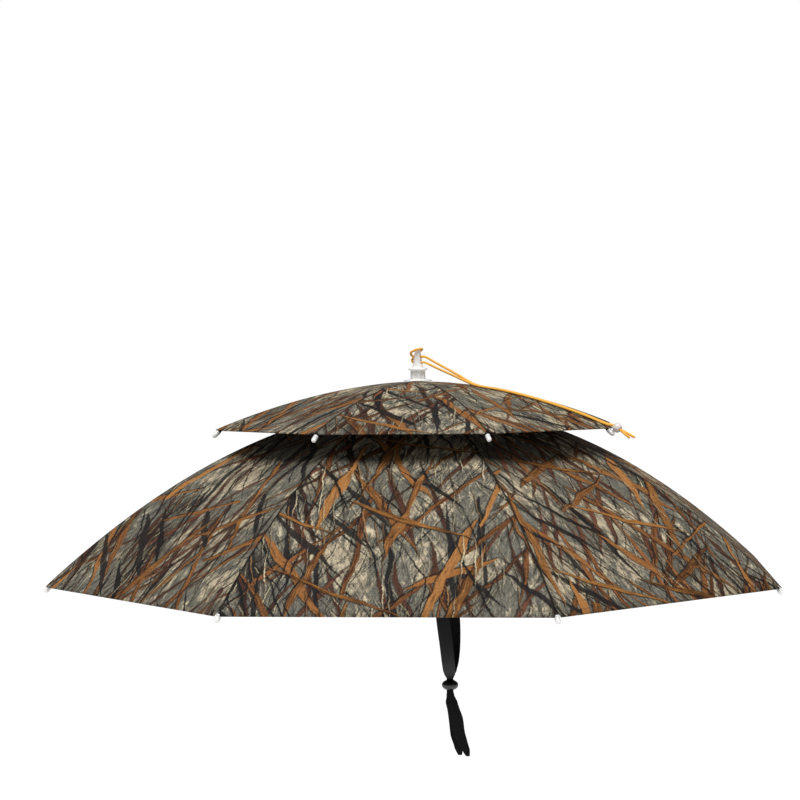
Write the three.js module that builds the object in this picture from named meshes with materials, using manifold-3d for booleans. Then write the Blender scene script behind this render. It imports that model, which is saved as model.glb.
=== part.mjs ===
// A two-tier umbrella hat. Eight long ribs spread a wide lower canopy and eight short ribs a
// small upper one above it, both from a short post. A moulded cradle hangs an elastic head band
// under the post, two webbing straps meet in a toggle below the chin, and an elastic cord runs
// from the finial over one upper rib to a bead at its tip.
// Millimetres. The origin is the centre of the head band, +X is the wearer's front, +Z is up.
import * as THREE from "three";
import { mergeVertices } from "three/addons/utils/BufferGeometryUtils.js";
import Module from "manifold-3d";

const wasm = await Module();
wasm.setup();

// Sizes shared by many pieces
const RIB_COUNT = 8;
const RIB_STEP = (2 * Math.PI) / RIB_COUNT;
const FIRST_RIB = -RIB_STEP / 2; // the front lies halfway between two ribs
const CLEARANCE = 0.3;
const CLOTH_WALL = 1.2;
const RIB_RADIUS = 1.25;
const ROD_SIDES = 6;
const ROUND_SIDES = 24;
const BALL_SIDES = 16;
const BAND_SIDES = 28;

// The two canopies. Each ridge falls from its apex as rise * share ^ bend of the radius.
const HEAD_ROOM = 98; // from the band's centre to the cradle's plate
const APEX_STEP = 61; // from the cradle's plate to the lower apex
const TIER_STEP = 23.5; // from the lower apex to the upper one
const LOWER = { radius: 390, rise: 175, bend: 1.97, sag: 0.035, tipDroop: 50, rows: 12 };
const UPPER = { radius: 217, rise: 46.5, bend: 1.85, sag: 0.02, tipDroop: 38, rows: 7 };
LOWER.apex = HEAD_ROOM + APEX_STEP;
UPPER.apex = LOWER.apex + TIER_STEP;
const GORE_COLUMNS = 4;
const NOTCH_DEPTH = 5; // the cloth is cut back here, where a rib's cap comes through
const NOTCH_HALF_WIDTH = 3.5;

// Caps on the rib tips
const CAP_WALL = 0.75;
const CAP_LENGTH = 8.2;
const CAP_BORE_DEPTH = 5.4;
const CAP_MOUTH_STEP = 2.4; // from the cloth's notch to the cap's mouth
const CAP_SIDES = 8;

// Post, crowns, runner
const POST_RADIUS = 5;
const CROWN_RADIUS = 12.5;
const CROWN_HEIGHT = 9;
const CROWN_WALL = 2.2; // what a crown keeps between the post and its slots
const SPOOL_NECK_RADIUS = 8;
const SPOOL_FOOT_HEIGHT = 2;
const SPOOL_SLOPE = 2;
const RUNNER_HEIGHT = 12;
const RUNNER_DROP = 41; // from the lower apex to the runner's underside
const STRETCHER_SHARE = 0.3; // a stretcher meets its rib at this share of the lower radius
const STRETCHER_WIDTH = 2.4;
const STRETCHER_HEIGHT = 3;
const CLIP_LENGTH = 8;
const CLIP_WALL = 1;
const CLIP_CLEARANCE = 0.5;
const CLIP_RELIEF = 1; // the clip's sides end this far below the top of the rib

// Finial
const FLANGE_RADIUS = 14.8;
const FLANGE_EDGE = 0.8;
const FLANGE_HEIGHT = 2.4;
const COLUMN_RADIUS = 7.8;
const COLUMN_HEIGHT = 11;
const FLUTE_COUNT = 8;
const FLUTE_DEPTH = 0.9;
const COLLAR_RADIUS = 10.4;
const COLLAR_HEIGHT = 3.4;
const COLLAR_EDGE = 0.8;
const SPIRE_HEIGHT = 22.6;
// Sections of the spire: height and half sizes, along and across the pull cord
const SPIRE_SECTIONS = [
  { height: 0, along: 5.8, across: 4.6 },
  { height: 0.3, along: 4.7, across: 3.9 },
  { height: 0.62, along: 3.5, across: 3.3 },
  { height: 0.76, along: 2.9, across: 2.9 },
  { height: 0.9, along: 2.7, across: 2.7 },
  { height: 0.95, along: 1.9, across: 1.9 },
  { height: 1, along: 1.2, across: 1.2 },
];
const POST_INTO_FINIAL = 9;

// Head cradle and band
const BAND_ALONG = 100; // inner half length, front to back
const BAND_ACROSS = 81; // inner half width
const BAND_WALL = 3;
const BAND_HEIGHT = 30;
const PLATE_RADIUS = 20;
const PLATE_WALL = 3;
const SOCKET_RADIUS = 9;
const SOCKET_HEIGHT = 11;
const ARM_COUNT = 4;
const ARM_WIDTH = 9;
const ARM_WALL = 2;
const ARM_LAP = 22; // how far an arm lies on the band
// Sections of an arm: reach from plate to band, and height from band to plate
const ARM_SECTIONS = [
  { reach: 0.1, height: 1 },
  { reach: 0.36, height: 0.985 },
  { reach: 0.6, height: 0.9 },
  { reach: 0.8, height: 0.735 },
  { reach: 0.93, height: 0.5 },
  { reach: 1, height: 0.2 },
];

// Chin strap and toggle
const STRAP_WIDTH = 13.5;
const STRAP_WALL = 1.2;
const STRAP_AHEAD = 27; // the strap leaves the band this far ahead of its middle
const STRAP_PARTING = 1; // between the two straps inside the toggle
const STRAP_GATHER = { width: 0.52, wall: 1.33 }; // what the toggle's slot squeezes the webbing to
const TOGGLE = { x: 31, z: -136.5, along: 8.8, across: 7, height: 5.8 };
const TOGGLE_ROOM = 0.5;
const STRAP_TAIL = { lean: 14, splay: 4.2 }; // how far the loose ends lean ahead and fan apart
// The strap's route as shares. ahead and out run from the toggle's slot, 0 out, to the band.
// down is the share of the way down to the toggle's middle, and lie is how flat the strap lies
// on the band. The last rows are the loose ends, with their shares of the lean and the splay.
const STRAP_STATIONS = [
  { ahead: 0, out: 1, down: -0.08, width: 1, wall: 1, lie: 1 },
  { ahead: 0, out: 1, down: 0.11, width: 1, wall: 1, lie: 1 },
  { ahead: 0.25, out: 0.99, down: 0.25, width: 1, wall: 1, lie: 0.8 },
  { ahead: 0.65, out: 0.935, down: 0.43, width: 1, wall: 1, lie: 0.4 },
  { ahead: 1.15, out: 0.81, down: 0.605, width: 1, wall: 1 },
  { ahead: 1.35, out: 0.605, down: 0.75, width: 1, wall: 1 },
  { ahead: 1.3, out: 0.367, down: 0.845, width: 0.97, wall: 1 },
  { ahead: 1.15, out: 0.152, down: 0.9, width: 0.86, wall: 1.17 },
  { ahead: 1.05, out: 0.044, down: 0.928, width: 0.68, wall: 1.33 },
  { ahead: 1, out: 0, down: 0.95, ...STRAP_GATHER },
  { ahead: 1, out: 0, down: 1.05, ...STRAP_GATHER },
  { ahead: 1, out: 0.009, down: 1.08, width: 0.6, wall: 1.17, lean: 0.02, splay: 0 },
  { ahead: 1, out: 0.026, down: 1.14, width: 0.93, wall: 1, lean: 0.12, splay: 0.05 },
  { ahead: 1, out: 0.03, down: 1.24, width: 1.04, wall: 1, lean: 0.38, splay: 0.2 },
  { ahead: 1, out: 0.026, down: 1.38, width: 0.86, wall: 1, lean: 0.56, splay: 0.6 },
  { ahead: 1, out: 0.022, down: 1.48, width: 0.66, wall: 1, lean: 0.84, splay: 0.9 },
  { ahead: 1, out: 0.02, down: 1.545, width: 0.3, wall: 1, lean: 1, splay: 1 },
];

// Pull cord and its bead, in the upright plane of the first rib
const CORD_RADIUS = 1.25;
const CORD_SIDES = 8;
const CORD_LANE = 1.6; // each strand lies this far to one side of the ridge
const CORD_RIDE = CORD_RADIUS + CLEARANCE;
const CORD_SLOT = { foot: 0.155, top: 0.565 }; // the spire's slot, as shares of its height
const CORD_ENTRY_REACH = 8; // where the strands meet the loop, beside the spire
const CORD_LANDING_ROW = 2; // the strands come down on the ridge at this row of the cloth
const BEAD_RADIUS = 4.9;
const BEAD_STAND = 8.6; // from the cloth's notch along the cap, to where the bead rests on it
const BEAD_TILT = 30;
// Free ends of the cord, past the bead
const CORD_TAILS = { upper: { length: 16, droop: 27 }, lower: { length: 12.5, droop: 38 } };
// The loop's route round the spire, chosen by hand: along the cord, across it, and the height
// over the upper strand
const LOOP_STATIONS = [
  [4.5, 0, 0],
  [0, 0, 0],
  [-3.9, 0, 0],
  [-5.9, -0.8, 0.9],
  [-6.7, -2.5, 2.7],
  [-5.6, -4.3, 4.5],
  [-2.8, -5.1, 6],
  [0.3, -4.8, 7.1],
  [3, -3.7, 7.8],
  [4.5, -1.3, 8.2],
  [4.5, 1.5, 8],
  [2.9, 3.8, 7.3],
  [0.2, 4.9, 5.8],
  [-2.6, 5.2, 3.6],
  [-5.2, 4.5, 1],
  [-7, 2.8, -1.6],
  [-7.2, 1, -4],
  [-5.6, 0.1, -5.7],
  [-3, 0, -6],
  [0, 0, -6],
  [4.5, 0, -6],
];

const SLOT_CLEARANCE = 0.35;
const boreRadius = POST_RADIUS + CLEARANCE;
const radians = THREE.MathUtils.degToRad;
const ribAzimuth = (index) => FIRST_RIB + index * RIB_STEP;
const CORD_AZIMUTH = ribAzimuth(0);
const finialFoot = UPPER.apex + CLEARANCE;
const collarFoot = finialFoot + COLUMN_HEIGHT;
const spireFoot = collarFoot + COLLAR_HEIGHT;
const slotFoot = spireFoot + CORD_SLOT.foot * SPIRE_HEIGHT;
const slotTop = spireFoot + CORD_SLOT.top * SPIRE_HEIGHT;
const upperStrand = slotTop - SLOT_CLEARANCE - CORD_RADIUS;
const lowerStrand = slotFoot + SLOT_CLEARANCE + CORD_RADIUS;

const materials = {
  cloth: new THREE.MeshStandardMaterial({ color: "#6d6355", roughness: 0.85, metalness: 0 }),
  plastic: new THREE.MeshStandardMaterial({ color: "#e6e4df", roughness: 0.35, metalness: 0 }),
  steel: new THREE.MeshStandardMaterial({ color: "#b9bbbd", roughness: 0.3, metalness: 0.9 }),
  black: new THREE.MeshStandardMaterial({ color: "#1c1c1e", roughness: 0.5, metalness: 0 }),
  webbing: new THREE.MeshStandardMaterial({ color: "#121214", roughness: 0.9, metalness: 0 }),
  cord: new THREE.MeshStandardMaterial({ color: "#e08a1e", roughness: 0.7, metalness: 0 }),
};

const hat = new THREE.Group();
hat.name = "umbrella_hat";

function addPiece(name, geometry, material, parent = hat) {
  const mesh = new THREE.Mesh(geometry, material);
  mesh.name = name;
  parent.add(mesh);
  return mesh;
}

// A point at a reach from the axis in one upright plane, and aside of that plane
function polar(azimuth, reach, z, aside = 0) {
  return new THREE.Vector3(
    reach * Math.cos(azimuth) - aside * Math.sin(azimuth),
    reach * Math.sin(azimuth) + aside * Math.cos(azimuth),
    z,
  );
}

// Joining and cutting
function solidFrom(geometry) {
  const bare = geometry.clone();
  bare.deleteAttribute("normal");
  bare.deleteAttribute("uv");
  const merged = mergeVertices(bare, 1e-3);
  return new wasm.Manifold(
    new wasm.Mesh({
      numProp: 3,
      vertProperties: merged.attributes.position.array,
      triVerts: new Uint32Array(merged.index.array),
    }),
  );
}

function geometryFrom(solid) {
  const mesh = solid.getMesh();
  const geometry = new THREE.BufferGeometry();
  geometry.setAttribute("position", new THREE.BufferAttribute(mesh.vertProperties, 3));
  geometry.setIndex(new THREE.BufferAttribute(mesh.triVerts, 1));
  geometry.computeVertexNormals();
  return geometry;
}

// A closed body through rings of points that run anticlockwise as seen from the last ring
function loft(rings) {
  const sides = rings[0].length;
  const points = rings.flat();
  const triangles = [];
  for (let ring = 0; ring + 1 < rings.length; ring += 1) {
    for (let side = 0; side < sides; side += 1) {
      const a = ring * sides + side;
      const b = ring * sides + ((side + 1) % sides);
      triangles.push(a, b, b + sides, a, b + sides, a + sides);
    }
  }
  const last = (rings.length - 1) * sides;
  for (let side = 1; side + 1 < sides; side += 1) {
    triangles.push(0, side + 1, side);
    triangles.push(last, last + side, last + side + 1);
  }
  const geometry = new THREE.BufferGeometry().setFromPoints(points);
  geometry.setIndex(triangles);
  return geometry;
}

// A path that an extrusion follows through exactly these points, one for each step
class Route extends THREE.Curve {
  constructor(points) {
    super();
    this.points = points;
  }

  getPoint(share) {
    const at = THREE.MathUtils.clamp(share, 0, 1) * (this.points.length - 1);
    const index = Math.min(Math.floor(at), this.points.length - 2);
    return this.points[index].clone().lerp(this.points[index + 1], at - index);
  }

  getUtoTmapping(share) {
    return share;
  }
}

function rod(points, radius, sides) {
  const outline = [];
  for (let side = 0; side < sides; side += 1) {
    const angle = (2 * Math.PI * side) / sides;
    outline.push(new THREE.Vector2(radius * Math.cos(angle), radius * Math.sin(angle)));
  }
  return new THREE.ExtrudeGeometry(new THREE.Shape(outline), {
    steps: points.length - 1,
    extrudePath: new Route(points),
    bevelEnabled: false,
  });
}

// A turned body: its profile is closed and lies in the plane of reach and height
function turned(profile, sides = ROUND_SIDES) {
  const closed = [...profile, profile[0]].map(([reach, height]) => new THREE.Vector2(reach, height));
  return new THREE.LatheGeometry(closed, sides).rotateX(Math.PI / 2);
}

// Canopies
const clothHole = (boreRadius + CLEARANCE) / Math.cos(RIB_STEP / 2);

// The share of the radius at a row of the cloth. Ribs and cords bend at the same rows.
function rowShare(tier, row) {
  const hole = clothHole / tier.radius;
  return hole + (1 - hole) * (row / tier.rows);
}

function ridgeHeight(tier, share) {
  return tier.apex - tier.rise * share ** tier.bend;
}

function ridgeFall(tier, share) {
  return (tier.rise * tier.bend * share ** (tier.bend - 1)) / tier.radius;
}

// A point of the cloth: across runs from one rib to the next, depth goes down into the wall
function clothPoint(tier, gore, across, share, depth) {
  const start = polar(ribAzimuth(gore), tier.radius * share, 0);
  const end = polar(ribAzimuth(gore + 1), tier.radius * share, 0);
  const point = start.lerp(end, across);
  const chord = 2 * tier.radius * share * Math.sin(RIB_STEP / 2);
  const sag = tier.sag * chord * Math.sin(Math.PI * share) * 4 * across * (1 - across);
  const fall = ridgeFall(tier, share);
  const inward = (sag + depth) / Math.hypot(fall, 1);
  const reach = Math.hypot(point.x, point.y);
  point.multiplyScalar((reach - inward * fall) / reach);
  point.z = ridgeHeight(tier, share) - inward;
  return point;
}

function notchCutter(tier, rib) {
  const inner = tier.radius - NOTCH_DEPTH;
  const shape = new THREE.Shape([
    new THREE.Vector2(inner, -NOTCH_HALF_WIDTH),
    new THREE.Vector2(inner + 4 * NOTCH_DEPTH, -NOTCH_HALF_WIDTH),
    new THREE.Vector2(inner + 4 * NOTCH_DEPTH, NOTCH_HALF_WIDTH),
    new THREE.Vector2(inner, NOTCH_HALF_WIDTH),
  ]);
  const tall = 8 * NOTCH_DEPTH;
  const cutter = new THREE.ExtrudeGeometry(shape, { depth: tall, bevelEnabled: false });
  return cutter.translate(0, 0, ridgeHeight(tier, 1) - tall / 2).rotateZ(ribAzimuth(rib));
}

// The cloth is an outer and an inner skin, joined round the hem and round the post
function canopyGeometry(tier) {
  const columns = RIB_COUNT * GORE_COLUMNS;
  const rings = [];
  for (const depth of [0, CLOTH_WALL]) {
    for (let row = 0; row <= tier.rows; row += 1) {
      const level = depth === 0 ? row : tier.rows - row;
      const share = rowShare(tier, level);
      for (let column = 0; column < columns; column += 1) {
        const gore = Math.floor(column / GORE_COLUMNS);
        const across = (column % GORE_COLUMNS) / GORE_COLUMNS;
        rings.push(clothPoint(tier, gore, across, share, depth));
      }
    }
  }
  const ringCount = 2 * (tier.rows + 1);
  const triangles = [];
  for (let ring = 0; ring < ringCount; ring += 1) {
    const below = ((ring + 1) % ringCount) * columns;
    for (let column = 0; column < columns; column += 1) {
      const a = ring * columns + column;
      const b = ring * columns + ((column + 1) % columns);
      const c = below + ((column + 1) % columns);
      const d = below + column;
      triangles.push(a, d, c, a, c, b);
    }
  }
  const skin = new THREE.BufferGeometry().setFromPoints(rings);
  skin.setIndex(triangles);
  let cloth = solidFrom(skin);
  for (let rib = 0; rib < RIB_COUNT; rib += 1) {
    cloth = cloth.subtract(solidFrom(notchCutter(tier, rib)));
  }
  return geometryFrom(cloth);
}

// Ribs and their caps
const RIB_DEPTH = CLOTH_WALL + 1.5 * CLEARANCE + RIB_RADIUS;
const RIB_START = POST_RADIUS + CLEARANCE + CROWN_WALL + CLEARANCE;

function ribPoint(tier, azimuth, share, depth) {
  const fall = ridgeFall(tier, share);
  const inward = depth / Math.hypot(fall, 1);
  return polar(azimuth, tier.radius * share - inward * fall, ridgeHeight(tier, share) - inward);
}

function tipDirection(tier, azimuth) {
  const droop = radians(tier.tipDroop);
  return polar(azimuth, Math.cos(droop), -Math.sin(droop));
}

function ribGeometry(tier, azimuth) {
  const shares = [RIB_START / tier.radius];
  for (let row = 1; row < tier.rows; row += 1) {
    shares.push(rowShare(tier, row));
  }
  shares.push(1 - NOTCH_DEPTH / tier.radius);
  const points = shares.map((share) => ribPoint(tier, azimuth, share, RIB_DEPTH));
  const end = points[points.length - 1].clone();
  const reach = CAP_MOUTH_STEP + CAP_BORE_DEPTH - CLEARANCE;
  points.push(end.clone().addScaledVector(tipDirection(tier, azimuth), CAP_MOUTH_STEP));
  points.push(end.addScaledVector(tipDirection(tier, azimuth), reach));
  return rod(points, RIB_RADIUS, ROD_SIDES);
}

const capBore = (RIB_RADIUS + CLEARANCE) / Math.cos(Math.PI / CAP_SIDES);
const capOuter = capBore + CAP_WALL;

function capGeometry() {
  const profile = [
    [0, CAP_BORE_DEPTH],
    [capBore, CAP_BORE_DEPTH],
    [capBore, 0],
    [capOuter, 0],
    [capOuter, CAP_LENGTH - 1.8],
    [capOuter - 0.9, CAP_LENGTH - 0.4],
    [0, CAP_LENGTH],
  ].map(([reach, height]) => new THREE.Vector2(reach, height));
  return new THREE.LatheGeometry(profile, CAP_SIDES).rotateX(Math.PI / 2);
}

function addCap(name, tier, azimuth) {
  const direction = tipDirection(tier, azimuth);
  const cap = addPiece(name, capGeometry(), materials.plastic);
  const notch = 1 - NOTCH_DEPTH / tier.radius;
  cap.position.copy(ribPoint(tier, azimuth, notch, RIB_DEPTH));
  cap.position.addScaledVector(direction, CAP_MOUTH_STEP);
  cap.quaternion.setFromUnitVectors(new THREE.Vector3(0, 0, 1), direction);
}

// Crowns: turned bodies with a slot for each rib or stretcher
function slotCutter(azimuth, width, floor, top) {
  const inner = POST_RADIUS + CLEARANCE + CROWN_WALL;
  const length = 2 * CROWN_RADIUS;
  const slot = new THREE.BoxGeometry(length, width, top - floor);
  return slot.translate(inner + length / 2, 0, (top + floor) / 2).rotateZ(azimuth);
}

function slottedCrown(profile, width, floor, top) {
  let crown = solidFrom(turned(profile));
  for (let rib = 0; rib < RIB_COUNT; rib += 1) {
    crown = crown.subtract(solidFrom(slotCutter(ribAzimuth(rib), width, floor, top + CLEARANCE)));
  }
  return geometryFrom(crown);
}

const ribSlotWidth = 2 * (RIB_RADIUS + SLOT_CLEARANCE);
const crownTop = (tier) => tier.apex - CLOTH_WALL - 3 * CLEARANCE;
const ribSlotFloor = (tier) => {
  const outermost = ribPoint(tier, 0, CROWN_RADIUS / tier.radius, RIB_DEPTH).z;
  return outermost - RIB_RADIUS - SLOT_CLEARANCE;
};

function lowerCrown() {
  const top = crownTop(LOWER);
  const foot = top - CROWN_HEIGHT;
  const profile = [
    [boreRadius, foot],
    [CROWN_RADIUS, foot],
    [CROWN_RADIUS, top],
    [boreRadius, top],
  ];
  return slottedCrown(profile, ribSlotWidth, ribSlotFloor(LOWER), top);
}

// The upper crown is a spool whose foot presses on the lower canopy
function upperCrown() {
  const top = crownTop(UPPER);
  const head = top - CROWN_HEIGHT;
  const foot = LOWER.apex + CLEARANCE;
  const profile = [
    [boreRadius, foot],
    [CROWN_RADIUS, foot],
    [CROWN_RADIUS, foot + SPOOL_FOOT_HEIGHT],
    [SPOOL_NECK_RADIUS, foot + SPOOL_FOOT_HEIGHT + SPOOL_SLOPE],
    [SPOOL_NECK_RADIUS, head - SPOOL_SLOPE],
    [CROWN_RADIUS, head],
    [CROWN_RADIUS, top],
    [boreRadius, top],
  ];
  return slottedCrown(profile, ribSlotWidth, ribSlotFloor(UPPER), top);
}

const runnerFoot = LOWER.apex - RUNNER_DROP;
const runnerTop = runnerFoot + RUNNER_HEIGHT;
const stretcherStart = { reach: RIB_START + CLEARANCE, z: runnerFoot + RUNNER_HEIGHT / 2 };

function runnerGeometry() {
  const profile = [
    [boreRadius, runnerFoot],
    [CROWN_RADIUS, runnerFoot],
    [CROWN_RADIUS, runnerTop],
    [boreRadius, runnerTop],
  ];
  const floor = stretcherStart.z - STRETCHER_HEIGHT / 2 - SLOT_CLEARANCE;
  return slottedCrown(profile, STRETCHER_WIDTH + 2 * SLOT_CLEARANCE, floor, runnerTop);
}

// A stretcher is a flat bar that ends in a clip round the underside of its rib
function stretcherGeometry(azimuth) {
  const rib = ribPoint(LOWER, 0, STRETCHER_SHARE, RIB_DEPTH);
  const slope = Math.atan(ridgeFall(LOWER, STRETCHER_SHARE));
  const throat = 2 * (RIB_RADIUS + CLIP_CLEARANCE);
  const below = RIB_RADIUS + CLIP_CLEARANCE + CLIP_WALL;
  const above = RIB_RADIUS - CLIP_RELIEF;
  const block = new THREE.BoxGeometry(CLIP_LENGTH, throat + 2 * CLIP_WALL, above + below);
  block.translate(0, 0, (above - below) / 2);
  const gap = new THREE.BoxGeometry(2 * CLIP_LENGTH, throat, 2 * CLIP_LENGTH);
  gap.translate(0, 0, CLIP_LENGTH - RIB_RADIUS - CLIP_CLEARANCE);
  const clip = solidFrom(block).subtract(solidFrom(gap));
  const placed = solidFrom(geometryFrom(clip).rotateY(slope).translate(rib.x, 0, rib.z));
  const end = {
    reach: rib.x - (below - CLIP_WALL / 2) * Math.sin(slope),
    z: rib.z - (below - CLIP_WALL / 2) * Math.cos(slope) - (STRETCHER_HEIGHT - CLIP_WALL) / 2,
  };
  const run = end.reach - stretcherStart.reach;
  const lift = end.z - stretcherStart.z;
  const bar = new THREE.BoxGeometry(Math.hypot(run, lift), STRETCHER_WIDTH, STRETCHER_HEIGHT);
  bar.rotateY(-Math.atan2(lift, run));
  bar.translate((stretcherStart.reach + end.reach) / 2, 0, (stretcherStart.z + end.z) / 2);
  return geometryFrom(placed.add(solidFrom(bar))).rotateZ(azimuth);
}

// Post and finial
const plateTop = HEAD_ROOM + PLATE_WALL;

function postGeometry() {
  const foot = plateTop - PLATE_WALL / 2 + CLEARANCE;
  const top = finialFoot + POST_INTO_FINIAL - CLEARANCE;
  const post = new THREE.CylinderGeometry(POST_RADIUS, POST_RADIUS, top - foot, ROUND_SIDES);
  return post.rotateX(Math.PI / 2).translate(0, 0, (top + foot) / 2);
}

function flutedColumn() {
  const outline = [];
  for (let point = 0; point < 4 * FLUTE_COUNT; point += 1) {
    const angle = (2 * Math.PI * point) / (4 * FLUTE_COUNT);
    const radius = point % 4 < 2 ? COLUMN_RADIUS : COLUMN_RADIUS - FLUTE_DEPTH;
    outline.push(new THREE.Vector2(radius * Math.cos(angle), radius * Math.sin(angle)));
  }
  const column = new THREE.ExtrudeGeometry(new THREE.Shape(outline), {
    depth: COLUMN_HEIGHT,
    bevelEnabled: false,
  });
  return column.translate(0, 0, finialFoot);
}

function spireRing(section) {
  const ring = [];
  for (let side = 0; side < BALL_SIDES; side += 1) {
    const angle = (2 * Math.PI * side) / BALL_SIDES;
    const reach = section.along * Math.cos(angle);
    const aside = section.across * Math.sin(angle);
    ring.push(polar(CORD_AZIMUTH, reach, spireFoot + section.height * SPIRE_HEIGHT, aside));
  }
  return ring;
}

function finialGeometry() {
  const top = finialFoot + FLANGE_HEIGHT;
  const flange = turned([
    [0, finialFoot],
    [FLANGE_RADIUS, finialFoot],
    [FLANGE_RADIUS, finialFoot + FLANGE_EDGE],
    [COLUMN_RADIUS + 1, top],
    [0, top],
  ]);
  const collarTop = collarFoot + COLLAR_HEIGHT;
  const collarMiddle = (collarFoot + collarTop) / 2;
  const collar = turned([
    [0, collarFoot - CLEARANCE],
    [COLUMN_RADIUS - FLUTE_DEPTH, collarFoot - CLEARANCE],
    [COLLAR_RADIUS, collarMiddle - COLLAR_EDGE / 2],
    [COLLAR_RADIUS, collarMiddle + COLLAR_EDGE / 2],
    [SPIRE_SECTIONS[0].along, collarTop],
    [0, collarTop],
  ]);
  const spire = loft(SPIRE_SECTIONS.map(spireRing)).translate(0, 0, -CLEARANCE / 2);
  const slotHalf = CORD_RADIUS + SLOT_CLEARANCE;
  const slot = new THREE.BoxGeometry(4 * SPIRE_SECTIONS[0].along, 2 * slotHalf, slotTop - slotFoot);
  slot.translate(0, 0, (slotTop + slotFoot) / 2).rotateZ(CORD_AZIMUTH);
  const bore = turned([
    [0, finialFoot - CLEARANCE],
    [boreRadius, finialFoot - CLEARANCE],
    [boreRadius, finialFoot + POST_INTO_FINIAL],
    [0, finialFoot + POST_INTO_FINIAL],
  ]);
  const body = solidFrom(flange).add(solidFrom(flutedColumn())).add(solidFrom(collar));
  return geometryFrom(body.add(solidFrom(spire)).subtract(solidFrom(slot)).subtract(solidFrom(bore)));
}

// Head cradle: a plate under the post and four arms that curve down over the head to the band
function bandReach(azimuth, wall) {
  const along = Math.cos(azimuth) / (BAND_ALONG + wall);
  const across = Math.sin(azimuth) / (BAND_ACROSS + wall);
  return 1 / Math.hypot(along, across);
}

// How far the band's outer face comes out under an arm that isn't square to it
function bandBulge(azimuth) {
  const half = ARM_WIDTH / 2;
  const straight = bandReach(azimuth, BAND_WALL);
  let most = straight;
  for (const aside of [-half, half]) {
    const turn = Math.atan2(aside, straight);
    most = Math.max(most, bandReach(azimuth + turn, BAND_WALL) * Math.cos(turn));
  }
  return most;
}

function armGeometry(azimuth) {
  const outerReach = bandBulge(azimuth) + CLEARANCE + ARM_WALL / 2;
  const middle = HEAD_ROOM + PLATE_WALL / 2;
  const stations = ARM_SECTIONS.map(({ reach, height }) => [reach * outerReach, height * middle]);
  stations.push([outerReach, BAND_HEIGHT / 2 - ARM_LAP]);
  const rings = stations.map(([reach, height], index) => {
    const before = stations[Math.max(index - 1, 0)];
    const after = stations[Math.min(index + 1, stations.length - 1)];
    const run = new THREE.Vector2(after[0] - before[0], after[1] - before[1]).normalize();
    const outX = (-run.y * ARM_WALL) / 2;
    const outZ = (run.x * ARM_WALL) / 2;
    return [
      polar(azimuth, reach - outX, height - outZ, -ARM_WIDTH / 2),
      polar(azimuth, reach - outX, height - outZ, ARM_WIDTH / 2),
      polar(azimuth, reach + outX, height + outZ, ARM_WIDTH / 2),
      polar(azimuth, reach + outX, height + outZ, -ARM_WIDTH / 2),
    ];
  });
  return loft(rings);
}

function cradleGeometry() {
  const plate = turned([
    [0, HEAD_ROOM],
    [PLATE_RADIUS, HEAD_ROOM],
    [PLATE_RADIUS, plateTop],
    [SOCKET_RADIUS, plateTop],
    [SOCKET_RADIUS, plateTop + SOCKET_HEIGHT],
    [0, plateTop + SOCKET_HEIGHT],
  ]);
  const socket = turned([
    [0, plateTop - PLATE_WALL / 2],
    [boreRadius, plateTop - PLATE_WALL / 2],
    [boreRadius, plateTop + 2 * SOCKET_HEIGHT],
    [0, plateTop + 2 * SOCKET_HEIGHT],
  ]);
  let cradle = solidFrom(plate);
  for (let arm = 0; arm < ARM_COUNT; arm += 1) {
    const azimuth = ((arm + 0.5) * 2 * Math.PI) / ARM_COUNT;
    cradle = cradle.add(solidFrom(armGeometry(azimuth)));
  }
  return geometryFrom(cradle.subtract(solidFrom(socket)));
}

function bandGeometry() {
  const outline = new THREE.Shape();
  outline.absellipse(0, 0, BAND_ALONG + BAND_WALL, BAND_ACROSS + BAND_WALL, 0, 2 * Math.PI);
  const hollow = new THREE.Path();
  hollow.absellipse(0, 0, BAND_ALONG, BAND_ACROSS, 0, 2 * Math.PI);
  outline.holes.push(hollow);
  const band = new THREE.ExtrudeGeometry(outline, {
    depth: BAND_HEIGHT,
    bevelEnabled: false,
    curveSegments: BAND_SIDES,
  });
  return band.translate(0, 0, -BAND_HEIGHT / 2);
}

// Chin strap: webbing whose width lies front to back. side is 1 on the left, -1 on the right.
const slotStrap = { out: (STRAP_PARTING + STRAP_GATHER.wall * STRAP_WALL) / 2 };
const bandFace = { along: BAND_ALONG + BAND_WALL, across: BAND_ACROSS + BAND_WALL };
const strapAngle = Math.asin(STRAP_AHEAD / bandFace.along); // round the band's oval
const bandStrap = {
  out: bandFace.across * Math.cos(strapAngle) + CLEARANCE + STRAP_WALL / 2,
  turn: -Math.atan((bandFace.across / bandFace.along) * Math.tan(strapAngle)),
};

function strapSection(side, { ahead, out, down, width, wall, lie = 0, lean = 0, splay = 0 }) {
  const tail = STRAP_TAIL.lean * lean - side * STRAP_TAIL.splay * splay;
  return {
    x: STRAP_AHEAD + (TOGGLE.x - STRAP_AHEAD) * ahead + tail,
    y: side * (slotStrap.out + (bandStrap.out - slotStrap.out) * out),
    z: TOGGLE.z * down,
    half: (width * STRAP_WIDTH) / 2,
    wall: wall * STRAP_WALL,
    turn: side * bandStrap.turn * lie,
  };
}

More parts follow.
